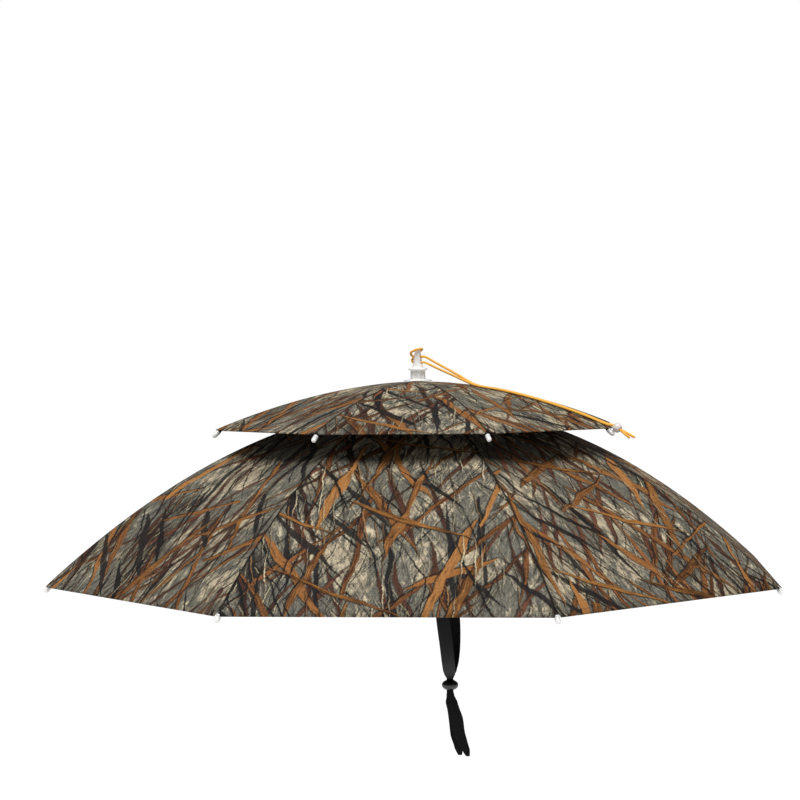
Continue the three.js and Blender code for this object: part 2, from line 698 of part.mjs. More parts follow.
function strapGeometry(side) {
  const sections = STRAP_STATIONS.map((station) => strapSection(side, station));
  const rings = sections.map(({ x, y, z, half, wall, turn }, index) => {
    const before = sections[Math.max(index - 1, 0)];
    const after = sections[Math.min(index + 1, sections.length - 1)];
    const run = new THREE.Vector2(after.y - before.y, after.z - before.z).normalize();
    const wide = new THREE.Vector3(Math.cos(turn), Math.sin(turn), 0).multiplyScalar(half);
    const thick = new THREE.Vector3(-Math.sin(turn) * run.y, Math.cos(turn) * run.y, -run.x);
    thick.multiplyScalar(wall / 2);
    const middle = new THREE.Vector3(x, y, z);
    return [
      middle.clone().sub(wide).sub(thick),
      middle.clone().add(wide).sub(thick),
      middle.clone().add(wide).add(thick),
      middle.clone().sub(wide).add(thick),
    ];
  });
  return loft(rings);
}

function toggleGeometry() {
  const ball = new THREE.SphereGeometry(1, BALL_SIDES, BALL_SIDES / 2).rotateX(Math.PI / 2);
  ball.scale(TOGGLE.along, TOGGLE.across, TOGGLE.height).translate(TOGGLE.x, 0, TOGGLE.z);
  const along = STRAP_GATHER.width * STRAP_WIDTH + 2 * TOGGLE_ROOM;
  const across = 2 * (slotStrap.out + (STRAP_GATHER.wall * STRAP_WALL) / 2 + TOGGLE_ROOM);
  const slot = new THREE.BoxGeometry(along, across, 4 * TOGGLE.height);
  slot.translate(TOGGLE.x, 0, TOGGLE.z);
  return geometryFrom(solidFrom(ball).subtract(solidFrom(slot)));
}

// Pull cord: two strands over the ridge, and the loop that ties them round the spire
// The bead rests on the first upper cap, with its centre square to the cap's axis
const beadCentre = (() => {
  const along = tipDirection(UPPER, 0);
  const axis = ribPoint(UPPER, 0, 1 - NOTCH_DEPTH / UPPER.radius, RIB_DEPTH);
  axis.addScaledVector(along, BEAD_STAND);
  const stand = BEAD_RADIUS + capOuter + CLEARANCE;
  return { reach: axis.x - along.z * stand, z: axis.z + along.x * stand };
})();

// One strand, from the spire's slot over the ridge and through the bead to its free end
function strandPoints(height, lane, tail) {
  const landing = ribPoint(UPPER, 0, rowShare(UPPER, CORD_LANDING_ROW), -CORD_RIDE);
  const places = [[CORD_ENTRY_REACH, height, 0]];
  for (const share of [0.25, 0.6]) {
    const reach = CORD_ENTRY_REACH + (landing.x - CORD_ENTRY_REACH) * share;
    places.push([reach, height + (landing.z - height) * share, lane * Math.min(1, 2 * share)]);
  }
  const shares = [];
  for (let row = CORD_LANDING_ROW; row < UPPER.rows; row += 1) {
    shares.push(rowShare(UPPER, row));
  }
  shares.push(1 - NOTCH_DEPTH / UPPER.radius);
  for (const share of shares) {
    const over = ribPoint(UPPER, 0, share, -CORD_RIDE);
    places.push([over.x, over.z, lane]);
  }
  const through = radians(BEAD_TILT);
  for (const far of [-BEAD_RADIUS, BEAD_RADIUS]) {
    const reach = beadCentre.reach + far * Math.cos(through);
    places.push([reach, beadCentre.z - far * Math.sin(through), lane]);
  }
  const droop = radians(tail.droop);
  const [tailReach, tailHeight] = places[places.length - 1];
  for (const far of [0.5 * tail.length, tail.length]) {
    places.push([tailReach + far * Math.cos(droop), tailHeight - far * Math.sin(droop), lane]);
  }
  return places.map(([reach, z, aside]) => polar(CORD_AZIMUTH, reach, z, aside));
}

function cordGeometry() {
  const loop = LOOP_STATIONS.map(([along, across, over]) =>
    polar(CORD_AZIMUTH, along, upperStrand + over, across),
  );
  const first = strandPoints(upperStrand, CORD_LANE, CORD_TAILS.upper).reverse();
  const second = strandPoints(lowerStrand, -CORD_LANE, CORD_TAILS.lower);
  return rod([...first, ...loop, ...second], CORD_RADIUS, CORD_SIDES);
}

function beadGeometry() {
  const ball = new THREE.SphereGeometry(BEAD_RADIUS, BALL_SIDES, BALL_SIDES / 2).rotateX(Math.PI / 2);
  const width = 2 * (CORD_LANE + CORD_RADIUS + SLOT_CLEARANCE);
  const slot = new THREE.BoxGeometry(4 * BEAD_RADIUS, width, 2 * (CORD_RADIUS + SLOT_CLEARANCE));
  const bead = solidFrom(ball).subtract(solidFrom(slot.rotateY(radians(BEAD_TILT))));
  const placed = geometryFrom(bead).translate(beadCentre.reach, 0, beadCentre.z);
  return placed.rotateZ(CORD_AZIMUTH);
}

// Assembly
addPiece("lower_canopy", canopyGeometry(LOWER), materials.cloth);
addPiece("upper_canopy", canopyGeometry(UPPER), materials.cloth);
for (let rib = 0; rib < RIB_COUNT; rib += 1) {
  const azimuth = ribAzimuth(rib);
  addPiece(`lower_rib_${rib + 1}`, ribGeometry(LOWER, azimuth), materials.steel);
  addPiece(`upper_rib_${rib + 1}`, ribGeometry(UPPER, azimuth), materials.steel);
  addPiece(`stretcher_${rib + 1}`, stretcherGeometry(azimuth), materials.steel);
  addCap(`lower_cap_${rib + 1}`, LOWER, azimuth);
  addCap(`upper_cap_${rib + 1}`, UPPER, azimuth);
}
addPiece("post", postGeometry(), materials.steel);
addPiece("lower_crown", lowerCrown(), materials.black);
addPiece("upper_crown", upperCrown(), materials.black);
addPiece("runner", runnerGeometry(), materials.black);
addPiece("finial", finialGeometry(), materials.plastic);
addPiece("head_cradle", cradleGeometry(), materials.black);
addPiece("head_band", bandGeometry(), materials.webbing);
addPiece("chin_strap_left", strapGeometry(1), materials.webbing);
addPiece("chin_strap_right", strapGeometry(-1), materials.webbing);
addPiece("strap_toggle", toggleGeometry(), materials.black);
addPiece("pull_cord", cordGeometry(), materials.cord);
addPiece("cord_bead", beadGeometry(), materials.plastic);

export default hat;
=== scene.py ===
# %% [markdown]
# # A two-tier umbrella hat
# The hat is a small umbrella that is worn: a wide canopy with a little one above it, so that
# warm air gets out between them. Eight wire ribs spread each canopy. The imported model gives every
# hard piece and its place. This lesson dresses it: cloth, cord, webbing and clear plastic get
# their fine shape and their finish here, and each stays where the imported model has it.

# %% Load the frame
import math

import bmesh
import bpy
from mathutils import Matrix, Vector


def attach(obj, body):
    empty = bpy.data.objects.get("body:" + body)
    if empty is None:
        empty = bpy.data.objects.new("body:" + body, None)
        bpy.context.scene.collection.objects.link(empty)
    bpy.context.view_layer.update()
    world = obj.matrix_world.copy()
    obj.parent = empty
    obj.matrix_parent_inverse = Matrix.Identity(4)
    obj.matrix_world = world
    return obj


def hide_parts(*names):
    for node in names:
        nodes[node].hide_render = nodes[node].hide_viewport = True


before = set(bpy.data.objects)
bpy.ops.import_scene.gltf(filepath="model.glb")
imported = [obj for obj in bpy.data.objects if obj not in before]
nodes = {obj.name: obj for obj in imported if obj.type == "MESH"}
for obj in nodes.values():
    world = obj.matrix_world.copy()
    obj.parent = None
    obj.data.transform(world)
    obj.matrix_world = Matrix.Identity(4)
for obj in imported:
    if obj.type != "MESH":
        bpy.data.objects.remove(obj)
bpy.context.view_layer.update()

MM = 0.001

# %% [markdown]
# ## The camera
# The camera comes first, because the cord and the light are judged through it. Its place was
# worked out from the sixteen rib tips, whose true places are known: the ribs are 45 degrees apart
# and end on two circles. A long lens from two metres away gives the flat view of a studio picture.

# %% Place the camera
RIM_HEIGHT = -16 * MM
view_turn, view_height = math.radians(4.697), math.radians(6.346)
view_distance, view_pixels, frame_pixels = 2.052, 1946.8, 800
yaw, pitch, roll = math.radians(-0.5325), math.radians(5.0077), math.radians(-0.5087)


def turned_pair(first, second, angle):
    """Two square directions, turned in their own plane from the first towards the second."""
    return (math.cos(angle) * first + math.sin(angle) * second,
            math.cos(angle) * second - math.sin(angle) * first)


right = Vector((math.cos(view_turn), math.sin(view_turn), 0))
level = Vector((math.sin(view_turn), -math.cos(view_turn), 0))
towards = level * math.cos(view_height) + Vector((0, 0, math.sin(view_height)))
ahead = -towards
above = right.cross(ahead)
ahead, above = turned_pair(ahead, above, pitch)
ahead, right = turned_pair(ahead, right, yaw)
right, above = turned_pair(right, above, roll)

lens = bpy.data.cameras.new("camera")
lens.sensor_width = 36
lens.lens = view_pixels / frame_pixels * lens.sensor_width
lens.clip_end = 100
camera = bpy.data.objects.new("camera", lens)
stand = Matrix.Translation(Vector((0, 0, RIM_HEIGHT)) + view_distance * towards)
camera.matrix_world = stand @ Matrix((right, above, -ahead)).transposed().to_4x4()
bpy.context.scene.collection.objects.link(camera)
bpy.context.scene.camera = camera
print("camera at", [round(v, 3) for v in stand.translation], "lens", round(lens.lens, 1))

# %% [markdown]
# ## The shape of the two canopies
# A taut canopy follows one rule. Along a rib it falls as a power of the distance from the post,
# and between two ribs it runs nearly straight across, a little hollow in the middle. The cloth,
# the ribs and the cord all use this rule, so it is written once.

# %% The rule of a canopy
RIB_COUNT = 8
RIB_STEP = 2 * math.pi / RIB_COUNT
HALF_STEP = RIB_STEP / 2
FIRST_RIB = -HALF_STEP
LOWER = dict(radius=390 * MM, apex=159 * MM, rise=175 * MM, bend=1.97, sag=0.035, droop=50)
UPPER = dict(radius=217 * MM, apex=182.5 * MM, rise=46.5 * MM, bend=1.85, sag=0.02, droop=38)
TIERS = (("lower", LOWER), ("upper", UPPER))
CLOTH_WALL, CLEARANCE, RIB_RADIUS, NOTCH = 1.2 * MM, 0.3 * MM, 1.25 * MM, 5 * MM
RIB_DEPTH = CLOTH_WALL + 1.5 * CLEARANCE + RIB_RADIUS


def polar(azimuth, reach, height, aside=0.0):
    return Vector((reach * math.cos(azimuth) - aside * math.sin(azimuth),
                   reach * math.sin(azimuth) + aside * math.cos(azimuth), height))


def slope(tier, share):
    """How steeply a rib falls at this share of the canopy's radius."""
    return tier["rise"] * tier["bend"] / tier["radius"] * share ** (tier["bend"] - 1)


def ridge(tier, share, depth):
    """Reach and height of a point over a rib, depth below the cloth's face."""
    fall = slope(tier, share)
    inward = depth / math.hypot(fall, 1)
    height = tier["apex"] - tier["rise"] * share ** tier["bend"]
    return tier["radius"] * share - inward * fall, height - inward


for word, tier in TIERS:
    tip = [round(v / MM, 1) for v in ridge(tier, 1, 0)]
    print(word, "tip of the cloth at reach and height, mm:", tip)

# %% [markdown]
# ## The pull cord
# A thin elastic cord is looped over the finial's spire. Both its ends come out through the
# spire's slot, lie side by side on the ridge of one rib and pass through a bead at the rib's tip.
# A cord is best made as a tube along a smooth path, so the few chosen points are joined by a
# Catmull-Rom curve, which passes through all of them.

# %% The cord's route
CORD_AZIMUTH = FIRST_RIB
CORD_RADIUS, CORD_LANE, BEAD_RADIUS, CAP_RADIUS = 1.25 * MM, 1.6 * MM, 4.9 * MM, 2.43 * MM
SPIRE_FOOT, SPIRE_HEIGHT = 197.2 * MM, 22.6 * MM
slot_low, slot_high = SPIRE_FOOT + 0.155 * SPIRE_HEIGHT, SPIRE_FOOT + 0.565 * SPIRE_HEIGHT
SLOT_MARGIN, STRAND_START = 1.6 * MM, 8 * MM
upper_strand, lower_strand = slot_high - SLOT_MARGIN, slot_low + SLOT_MARGIN
HOLE_FLAT, CLOTH_ROWS, LANDING_ROW, CORD_STEPS = 5.6 * MM, 7, 2, 6
loop_stations = [
    # millimetres out from the post, aside and up
    (4.5, 0, 0), (0, 0, 0), (-3.9, 0, 0), (-5.9, -0.8, 0.9), (-6.7, -2.5, 2.7), (-5.6, -4.3, 4.5),
    (-2.8, -5.1, 6), (0.3, -4.8, 7.1), (3, -3.7, 7.8), (4.5, -1.3, 8.2), (4.5, 1.5, 8),
    (2.9, 3.8, 7.3), (0.2, 4.9, 5.8), (-2.6, 5.2, 3.6), (-5.2, 4.5, 1), (-7, 2.8, -1.6),
    (-7.2, 1, -4), (-5.6, 0.1, -5.7), (-3, 0, -6), (0, 0, -6), (4.5, 0, -6)]
BEAD_TILT, BEAD_STAND = math.radians(30), 8.6 * MM
# the length of each free end and its droop
tails = {"upper": (16 * MM, math.radians(27)), "lower": (12.5 * MM, math.radians(38))}
upper_notch = 1 - NOTCH / UPPER["radius"]
tip_droop = math.radians(UPPER["droop"])
bead_reach, bead_height = ridge(UPPER, upper_notch, RIB_DEPTH)
stand_off = BEAD_RADIUS + CAP_RADIUS + CLEARANCE
bead_reach += BEAD_STAND * math.cos(tip_droop) + stand_off * math.sin(tip_droop)
bead_height += stand_off * math.cos(tip_droop) - BEAD_STAND * math.sin(tip_droop)


def cloth_share(tier, row):
    hole = (HOLE_FLAT / math.cos(HALF_STEP)) / tier["radius"]
    return hole + (1 - hole) * row / CLOTH_ROWS


def strand(height, lane, tail):
    """Points of one strand, from the spire's slot to its free end: reach, height, aside."""
    shares = [cloth_share(UPPER, row) for row in range(LANDING_ROW, CLOTH_ROWS)] + [upper_notch]
    on_cloth = [ridge(UPPER, share, -CORD_RADIUS - CLEARANCE) for share in shares]
    places = [(STRAND_START, height, 0)]
    for part in (0.25, 0.6):
        places.append((STRAND_START + (on_cloth[0][0] - STRAND_START) * part,
                       height + (on_cloth[0][1] - height) * part, lane * min(1, 2 * part)))
    places += [(*spot, lane) for spot in on_cloth]
    for far in (-BEAD_RADIUS, BEAD_RADIUS):
        places.append((bead_reach + far * math.cos(BEAD_TILT),
                       bead_height - far * math.sin(BEAD_TILT), lane))
    reach, low, _ = places[-1]
    length, droop = tail
    for far in (0.5 * length, length):
        places.append((reach + far * math.cos(droop), low - far * math.sin(droop), lane))
    return [polar(CORD_AZIMUTH, *place) for place in places]


def smooth_path(points, steps):
    """A Catmull-Rom curve through the points, with so many steps between two of them."""
    path = []
    for index in range(len(points) - 1):
        p0, p1 = points[max(index - 1, 0)], points[index]
        p2, p3 = points[index + 1], points[min(index + 2, len(points) - 1)]
        knots = [0.0]
        for before, after in ((p0, p1), (p1, p2), (p2, p3)):
            knots.append(knots[-1] + max((after - before).length, 1e-6) ** 0.5)
        t0, t1, t2, t3 = knots
        for step in range(steps):
            t = t1 + (t2 - t1) * step / steps
            a1 = p0.lerp(p1, (t - t0) / (t1 - t0)) if index else p1
            a2 = p1.lerp(p2, (t - t1) / (t2 - t1))
            a3 = p2.lerp(p3, (t - t2) / (t3 - t2)) if index + 2 < len(points) else p2
            b1 = a1.lerp(a2, (t - t0) / (t2 - t0))
            b2 = a2.lerp(a3, (t - t1) / (t3 - t1))
            path.append(b1.lerp(b2, (t - t1) / (t2 - t1)))
    return path + [points[-1].copy()]


cord_points = strand(upper_strand, CORD_LANE, tails["upper"])[::-1]
cord_points += [polar(CORD_AZIMUTH, out * MM, upper_strand + up * MM, aside * MM)
                for out, aside, up in loop_stations]
cord_points += strand(lower_strand, -CORD_LANE, tails["lower"])
cord_path = smooth_path(cord_points, CORD_STEPS)
cord_length = sum((b - a).length for a, b in zip(cord_path, cord_path[1:]))
print("cord:", len(cord_points), "chosen points,", round(cord_length, 3), "m long")

# %% [markdown]
# A tube needs a frame that doesn't spin as the path turns. Each ring's sideways direction is the
# last ring's, made square to the new direction. The UV map runs along the tube in metres and once
# round it, so that a braid can be drawn on it later.

# %% Tubes and lofts
END_TAPER = 5 * MM


def new_piece(name, mesh):
    piece = bpy.data.objects.new(name, mesh)
    bpy.context.scene.collection.objects.link(piece)
    return piece


def soften(mesh, degrees=35):
    """Smooth shading, with edges kept sharp where the faces meet at more than this angle."""
    mesh.shade_smooth()
    mesh.set_sharp_from_angle(angle=math.radians(degrees))


def face_outwards(piece):
    """Turns the faces of a closed mesh outwards."""
    shape = bmesh.new()
    shape.from_mesh(piece.data)
    bmesh.ops.recalc_face_normals(shape, faces=shape.faces[:])
    shape.to_mesh(piece.data)
    shape.free()


def loft(name, rings, loop=False, uv_round=None, degrees=35):
    """A skin over rings of points, anticlockwise as seen from the last ring. Two end faces
    close it, or it loops back to its first ring."""
    sides, count = len(rings[0]), len(rings)
    points = [tuple(p) for ring in rings for p in ring]
    uv_round = uv_round or [side / sides for side in range(sides + 1)]
    faces, corners, lengths = [], [], [0.0]
    for before, after in zip(rings, rings[1:]):
        shift = sum((Vector(b) - Vector(a) for a, b in zip(before, after)), Vector()) / sides
        lengths.append(lengths[-1] + shift.length)
    lengths.append(lengths[-1] + (Vector(rings[0][0]) - Vector(rings[-1][0])).length)
    for ring in range(count if loop else count - 1):
        for side in range(sides):
            after, beside = (ring + 1) % count, (side + 1) % sides
            faces.append((ring * sides + side, ring * sides + beside,
                          after * sides + beside, after * sides + side))
            u0, u1, v0, v1 = uv_round[side], uv_round[side + 1], lengths[ring], lengths[ring + 1]
            corners += [(u0, v0), (u1, v0), (u1, v1), (u0, v1)]
    if not loop:
        faces.append(tuple(range(sides - 1, -1, -1)))
        faces.append(tuple((count - 1) * sides + side for side in range(sides)))
        corners += [(0.0, 0.0)] * sides + [(0.0, lengths[count - 1])] * sides
    mesh = bpy.data.meshes.new(name)
    mesh.from_pydata(points, [], faces)
    layer = mesh.uv_layers.new(name="PathUV")
    layer.data.foreach_set("uv", [value for corner in corners for value in corner])
    mesh.validate()
    soften(mesh, degrees)
    return mesh


def tube(name, path, radius_at, sides=16):
    """A round tube along a path. radius_at gives the radius at a share of its length."""
    rings, sideways = [], None
    for index, point in enumerate(path):
        run = (path[min(index + 1, len(path) - 1)] - path[max(index - 1, 0)]).normalized()
        if sideways is None:
            sideways = run.orthogonal()
        sideways = (sideways - run * sideways.dot(run)).normalized()
        other = run.cross(sideways)
        radius = radius_at(index / (len(path) - 1))
        rings.append([point + radius * (math.cos(a) * sideways + math.sin(a) * other)
                      for a in (2 * math.pi * side / sides for side in range(sides))])
    return loft(name, rings)


def cord_radius(share):
    """The cord is even, and each free end is drawn in to a blunt point."""
    from_end = min(share, 1 - share) * cord_length
    return CORD_RADIUS * min(1, 0.25 + from_end / END_TAPER)


cord = new_piece("pull_cord_braid", tube("pull_cord_braid", cord_path, cord_radius))
print("cord mesh:", len(cord.data.polygons), "faces")

# %% [markdown]
# ## Sums on sockets
# A pattern is a sum of masks, and a node tree hides that sum in dozens of boxes. The small class
# Value lets Python write it as arithmetic: each operator adds the Math node that does it. The
# board's method add makes any other node. They serve materials and Geometry Nodes alike.

# %% A board of nodes and the values on it


def math_operator(operation, reflected=False):
    """A method that adds one Math node. Reflected puts the value second, as in 1 - mask."""
    def method(self, other):
        first, second = (other, self) if reflected else (self, other)
        return self.board.add("ShaderNodeMath", {"operation": operation}, {0: first, 1: second})[0]
    return method


class Value:
    """One socket in a sum. Each operator adds its Math node."""
    __add__ = __radd__ = math_operator("ADD")
    __mul__ = __rmul__ = math_operator("MULTIPLY")
    __sub__, __rsub__ = math_operator("SUBTRACT"), math_operator("SUBTRACT", reflected=True)
    __truediv__, __rtruediv__ = math_operator("DIVIDE"), math_operator("DIVIDE", reflected=True)
    __pow__, __rpow__ = math_operator("POWER"), math_operator("POWER", reflected=True)
    __lt__, __gt__ = math_operator("LESS_THAN"), math_operator("GREATER_THAN")

    def __init__(self, board, socket):
        self.board, self.socket = board, socket

    def math(self, operation, *others):
        """Any other Math node, with this value first."""
        return self.board.add("ShaderNodeMath", {"operation": operation},
                              dict(enumerate((self, *others))))[0]

    def __abs__(self):
        return self.math("ABSOLUTE")

    def limited(self):
        """Kept between 0 and 1."""
        return self.board.add("ShaderNodeClamp", None, {"Value": self})[0]

    def wave(self):
        """Its sine, laid between 0 and 1."""
        return self.math("SINE") * 0.5 + 0.5


class Made:
    """A node that was added. Its outputs are values, by name or by number."""

    def __init__(self, board, node):
        self.board, self.node = board, node

    def __getitem__(self, key):
        return Value(self.board, self.node.outputs[key])


class Board:
    """Adds nodes to one tree: first the node's settings, then its sockets."""

    def __init__(self, tree):
        self.tree = tree

    def add(self, kind, settings=None, sockets=None):
        node = self.tree.nodes.new(kind)
        for name, setting in (settings or {}).items():
            setattr(node, name, setting)
        for key, given in (sockets or {}).items():
            if isinstance(given, Value):
                self.tree.links.new(given.socket, node.inputs[key])
            else:
                node.inputs[key].default_value = given
        return Made(self, node)

    def mix(self, factor, first, second):
        """A colour between two colours."""
        return self.add("ShaderNodeMix", {"data_type": "RGBA"}, {0: factor, 6: first, 7: second})[2]

    def noise(self, vector, scale, detail=3.0, roughness=0.5, kind="3D"):
        return self.add("ShaderNodeTexNoise", {"noise_dimensions": kind}, {
            "Vector": vector, "Scale": scale, "Detail": detail, "Roughness": roughness})

    def vector(self, operation, *given):
        return self.add("ShaderNodeVectorMath", {"operation": operation}, dict(enumerate(given)))[0]

    def split(self, vector):
        return self.add("ShaderNodeSeparateXYZ", None, {"Vector": vector})

    def join(self, x, y, z):
        return self.add("ShaderNodeCombineXYZ", None, {"X": x, "Y": y, "Z": z})["Vector"]

    def dress(self, shader, colour, roughness, height, distance, strength):
        """Feeds a shader its colour and roughness, and the height through a Bump node."""
        lift = self.add("ShaderNodeBump", None, {
            "Height": height, "Distance": distance, "Strength": strength})["Normal"]
        for name, value in (("Base Color", colour), ("Roughness", roughness), ("Normal", lift)):
            self.tree.links.new(value.socket, shader.node.inputs[name])


def paint(code):
    """The linear colour of a hex code."""
    parts = [int(code[i:i + 2], 16) / 255 for i in (1, 3, 5)]
    return (*[c / 12.92 if c <= 0.04045 else ((c + 0.055) / 1.055) ** 2.4 for c in parts], 1.0)


def new_material(name, constants=None):
    """A material with one Principled shader. The constants are set on its own sockets."""
    material = bpy.data.materials.new(name)
    material.use_nodes = True
    material.node_tree.nodes.clear()
    board = Board(material.node_tree)
    shader = board.add("ShaderNodeBsdfPrincipled", None, constants)
    board.add("ShaderNodeOutputMaterial", None, {"Surface": shader["BSDF"]})
    return material, board, shader


print("a value adds its own nodes; a board adds any other")

# %% [markdown]
# ## The cord's finish
# The cord is elastic in a braided cover of bright orange thread. The braid is drawn on the UV
# map as two sets of slanting ridges that cross.

# %% Orange braid
BRAID_STRANDS, BRAID_PITCH = 6, 1.3 * MM


def path_finish(name, constants, grain):
    """The start of a finish on a tube's or strip's UV map: the place round or across it, the
    place along it, and a fine noise."""
    material, board, shader = new_material(name, constants)
    place = board.add("ShaderNodeUVMap", {"uv_map": "PathUV"})["UV"]
    parts = board.split(place)
    return material, board, shader, parts["X"], parts["Y"], board.noise(place, grain)["Fac"]


orange, board, shader, across, along, worn = path_finish(
    "orange_braid", {"Sheen Weight": 0.25}, 400)
left_hand = ((across * BRAID_STRANDS + along / BRAID_PITCH) * 2 * math.pi).math("SINE")
right_hand = ((across * BRAID_STRANDS - along / BRAID_PITCH) * 2 * math.pi).math("SINE")
braid = left_hand * right_hand * 0.5 + 0.5
tone = board.mix(braid, paint("#ec951a"), paint("#ffcc50"))
tone = board.mix((worn * 1.6 - 0.55).limited(), tone, paint("#fcb030"))
board.dress(shader, tone, worn * 0.2 + 0.55, braid, 0.3 * MM, 0.7)
cord.data.materials.append(orange)
print("cord's finish:", orange.name)

# %% [markdown]
# ## Printed cloth
# The cloth is thin woven polyester with a printed camouflage. The print here is made up from
# scratch: a mottled ground, and over it layer upon layer of tapered strokes. One layer is a
# net of stretched cells with one stroke in each. The cell's own random numbers bend the stroke,
# tilt it and pick its colour, so no list of strokes is needed and the print stays sharp at any
# size. The print is laid on the UV map in metres, panel by panel, because a real panel is cut
# from flat cloth and the print breaks at each seam.

# %% Strokes of the print
# the print's sizes are in millimetres
TAPER, SOFT_EDGE, RIM_WIDTH = 4.2, 0.45, 1.2
SHADE_SHIFT, SHADE_SPREAD, SHADE_EDGE = 0.9, 0.6, 0.8
STREAK_LENGTH, STREAK_WIDTH = 24, 0.9
SWAY, FRAY = 12, 3.2


def stretched(board, cloth, turn, length, gap, shift):
    """The cloth's plane, turned and drawn in so that a cell of length by gap is a unit square."""
    turned = board.add("ShaderNodeVectorRotate", {"rotation_type": "Z_AXIS"},
                       {"Vector": cloth, "Angle": math.radians(turn)})["Vector"]
    return board.vector("MULTIPLY_ADD", turned, (1 / length, 1 / gap, 0), shift)


def add_strokes(board, cloth, colour, group, seed, layer):
    """The colour with one layer of strokes over it. The group's noise thins them out in places."""
    turn, length, gap, width, share, dark, light, shading, bow, lean, channel = layer
    cluster = (1.42 - group[channel] * 2.4).limited()
    net = stretched(board, cloth, turn, length, gap, (seed * 3.71, seed * 5.33, 0))
    cell = board.add("ShaderNodeTexVoronoi", {"voronoi_dimensions": "2D", "feature": "F1"},
                     {"Vector": net, "Scale": 1.0, "Randomness": 0.85})
    off = board.split(board.vector("SUBTRACT", net, cell["Position"]))
    luck = board.add("ShaderNodeSeparateColor", None, {"Color": cell["Color"]})
    along, across = off["X"], off["Y"]
    line = across - (luck["Red"] - 0.5) * lean * along - (luck["Green"] - 0.5) * bow * along * along
    taper = 1 - along * along * TAPER
    wide = width / gap / 2
    half = taper * (luck["Blue"] < share) * wide - cluster * wide
    depth = half - abs(line)
    stroke, rim = (depth * (gap / SOFT_EDGE)).limited(), (depth * (gap / RIM_WIDTH)).limited()
    if shading:
        under = half - abs(line + SHADE_SHIFT / gap) + SHADE_SPREAD / gap
        shade = (under * (gap / SHADE_EDGE)).limited() * (half > 0)
        colour = board.mix(shade * shading, colour, paint("#0d0907"))
    drawn = board.vector("MULTIPLY", net, (length / STREAK_LENGTH, gap / STREAK_WIDTH, 1))
    streaks = board.noise(drawn, 1.0, 2.0, 0.6, "2D")["Fac"]
    tone = ((streaks - 0.5) * 3.4 + rim * 0.35 + (luck["Green"] - 0.5) * 1.1 + 0.3).limited()
    return board.mix(stroke * 0.95, colour, board.mix(tone, paint(dark), paint(light)))


def fibres(board, cloth, turn, length, fine, low, seed):
    """Hair-like marks in one direction: a noise that is drawn out along it."""
    drawn = stretched(board, cloth, turn, length, fine, (seed * 9.1, seed * 4.7, 0))
    return ((board.noise(drawn, 1.0, 3.0, 0.6, "2D")["Fac"] - low) * 9).limited()


# %% The camouflage
STROKE_LAYERS = [
    # turn, length, gap, width, share, dark tone, light tone, shade, bow, lean, group
    (70, 90, 8, 1.5, 0.42, "#6a6150", "#aea285", 0.5, 0.4, 0.5, "Green"),
    (104, 190, 19, 8.0, 0.65, "#160e0b", "#452a1f", 0.5, 0.15, 0.6, "Red"),
    (116, 90, 9, 1.6, 0.42, "#5b5342", "#a0957b", 0.5, 0.4, 0.5, "Blue"),
    (62, 210, 20, 7.0, 0.55, "#211410", "#5c3828", 0.7, 0.12, 0.6, "Green"),
    (96, 190, 36, 8.0, 0.55, "#0b0b0d", "#1b1a1b", 0.0, 0.2, 0.6, "Blue"),
    (128, 130, 17, 2.6, 0.6, "#0a0a0b", "#161514", 0.0, 0.5, 0.7, "Red"),
    (47, 190, 24, 6.5, 0.52, "#2f1b0f", "#704726", 0.8, 0.2, 0.5, "Blue"),
    (84, 230, 26, 6.5, 0.6, "#371f11", "#7e502d", 0.8, 0.12, 0.5, "Red"),
    (57, 120, 14, 2.2, 0.62, "#08080a", "#131313", 0.0, 0.6, 0.8, "Blue"),
    (120, 230, 30, 9.0, 0.55, "#3d2413", "#85582f", 0.8, 0.15, 0.5, "Green"),
    (99, 120, 13, 2.0, 0.55, "#2b1c16", "#80603f", 0.7, 0.3, 0.6, "Red"),
    (134, 150, 40, 8.5, 0.5, "#0c0b0d", "#201c1b", 0.0, 0.3, 0.6, "Red"),
    (26, 160, 46, 8.5, 0.48, "#3e2512", "#86582d", 0.8, 0.2, 0.4, "Green"),
    (78, 110, 12, 2.1, 0.6, "#09090a", "#1a1614", 0.0, 0.5, 0.7, "Green"),
    (74, 200, 46, 11.0, 0.46, "#4b2d14", "#926437", 0.8, 0.12, 0.5, "Blue"),
    (110, 140, 20, 3.0, 0.6, "#070708", "#121214", 0.3, 0.5, 0.8, "Green"),
    (92, 80, 11, 1.4, 0.4, "#776c57", "#b9ad8e", 0.5, 0.5, 0.6, "Blue"),
    (156, 180, 52, 6.5, 0.38, "#432911", "#8a5d2e", 0.8, 0.2, 0.4, "Red"),
]
FIBRE_LAYERS = [
    # turn, length, width, least, seed, strength, tone
    (84, 22, 1.3, 0.57, 1, 0.5, "#a2967a"),
    (64, 34, 1.5, 0.59, 2, 0.85, "#1d1713"),
    (114, 34, 1.5, 0.59, 3, 0.8, "#171311"),
]


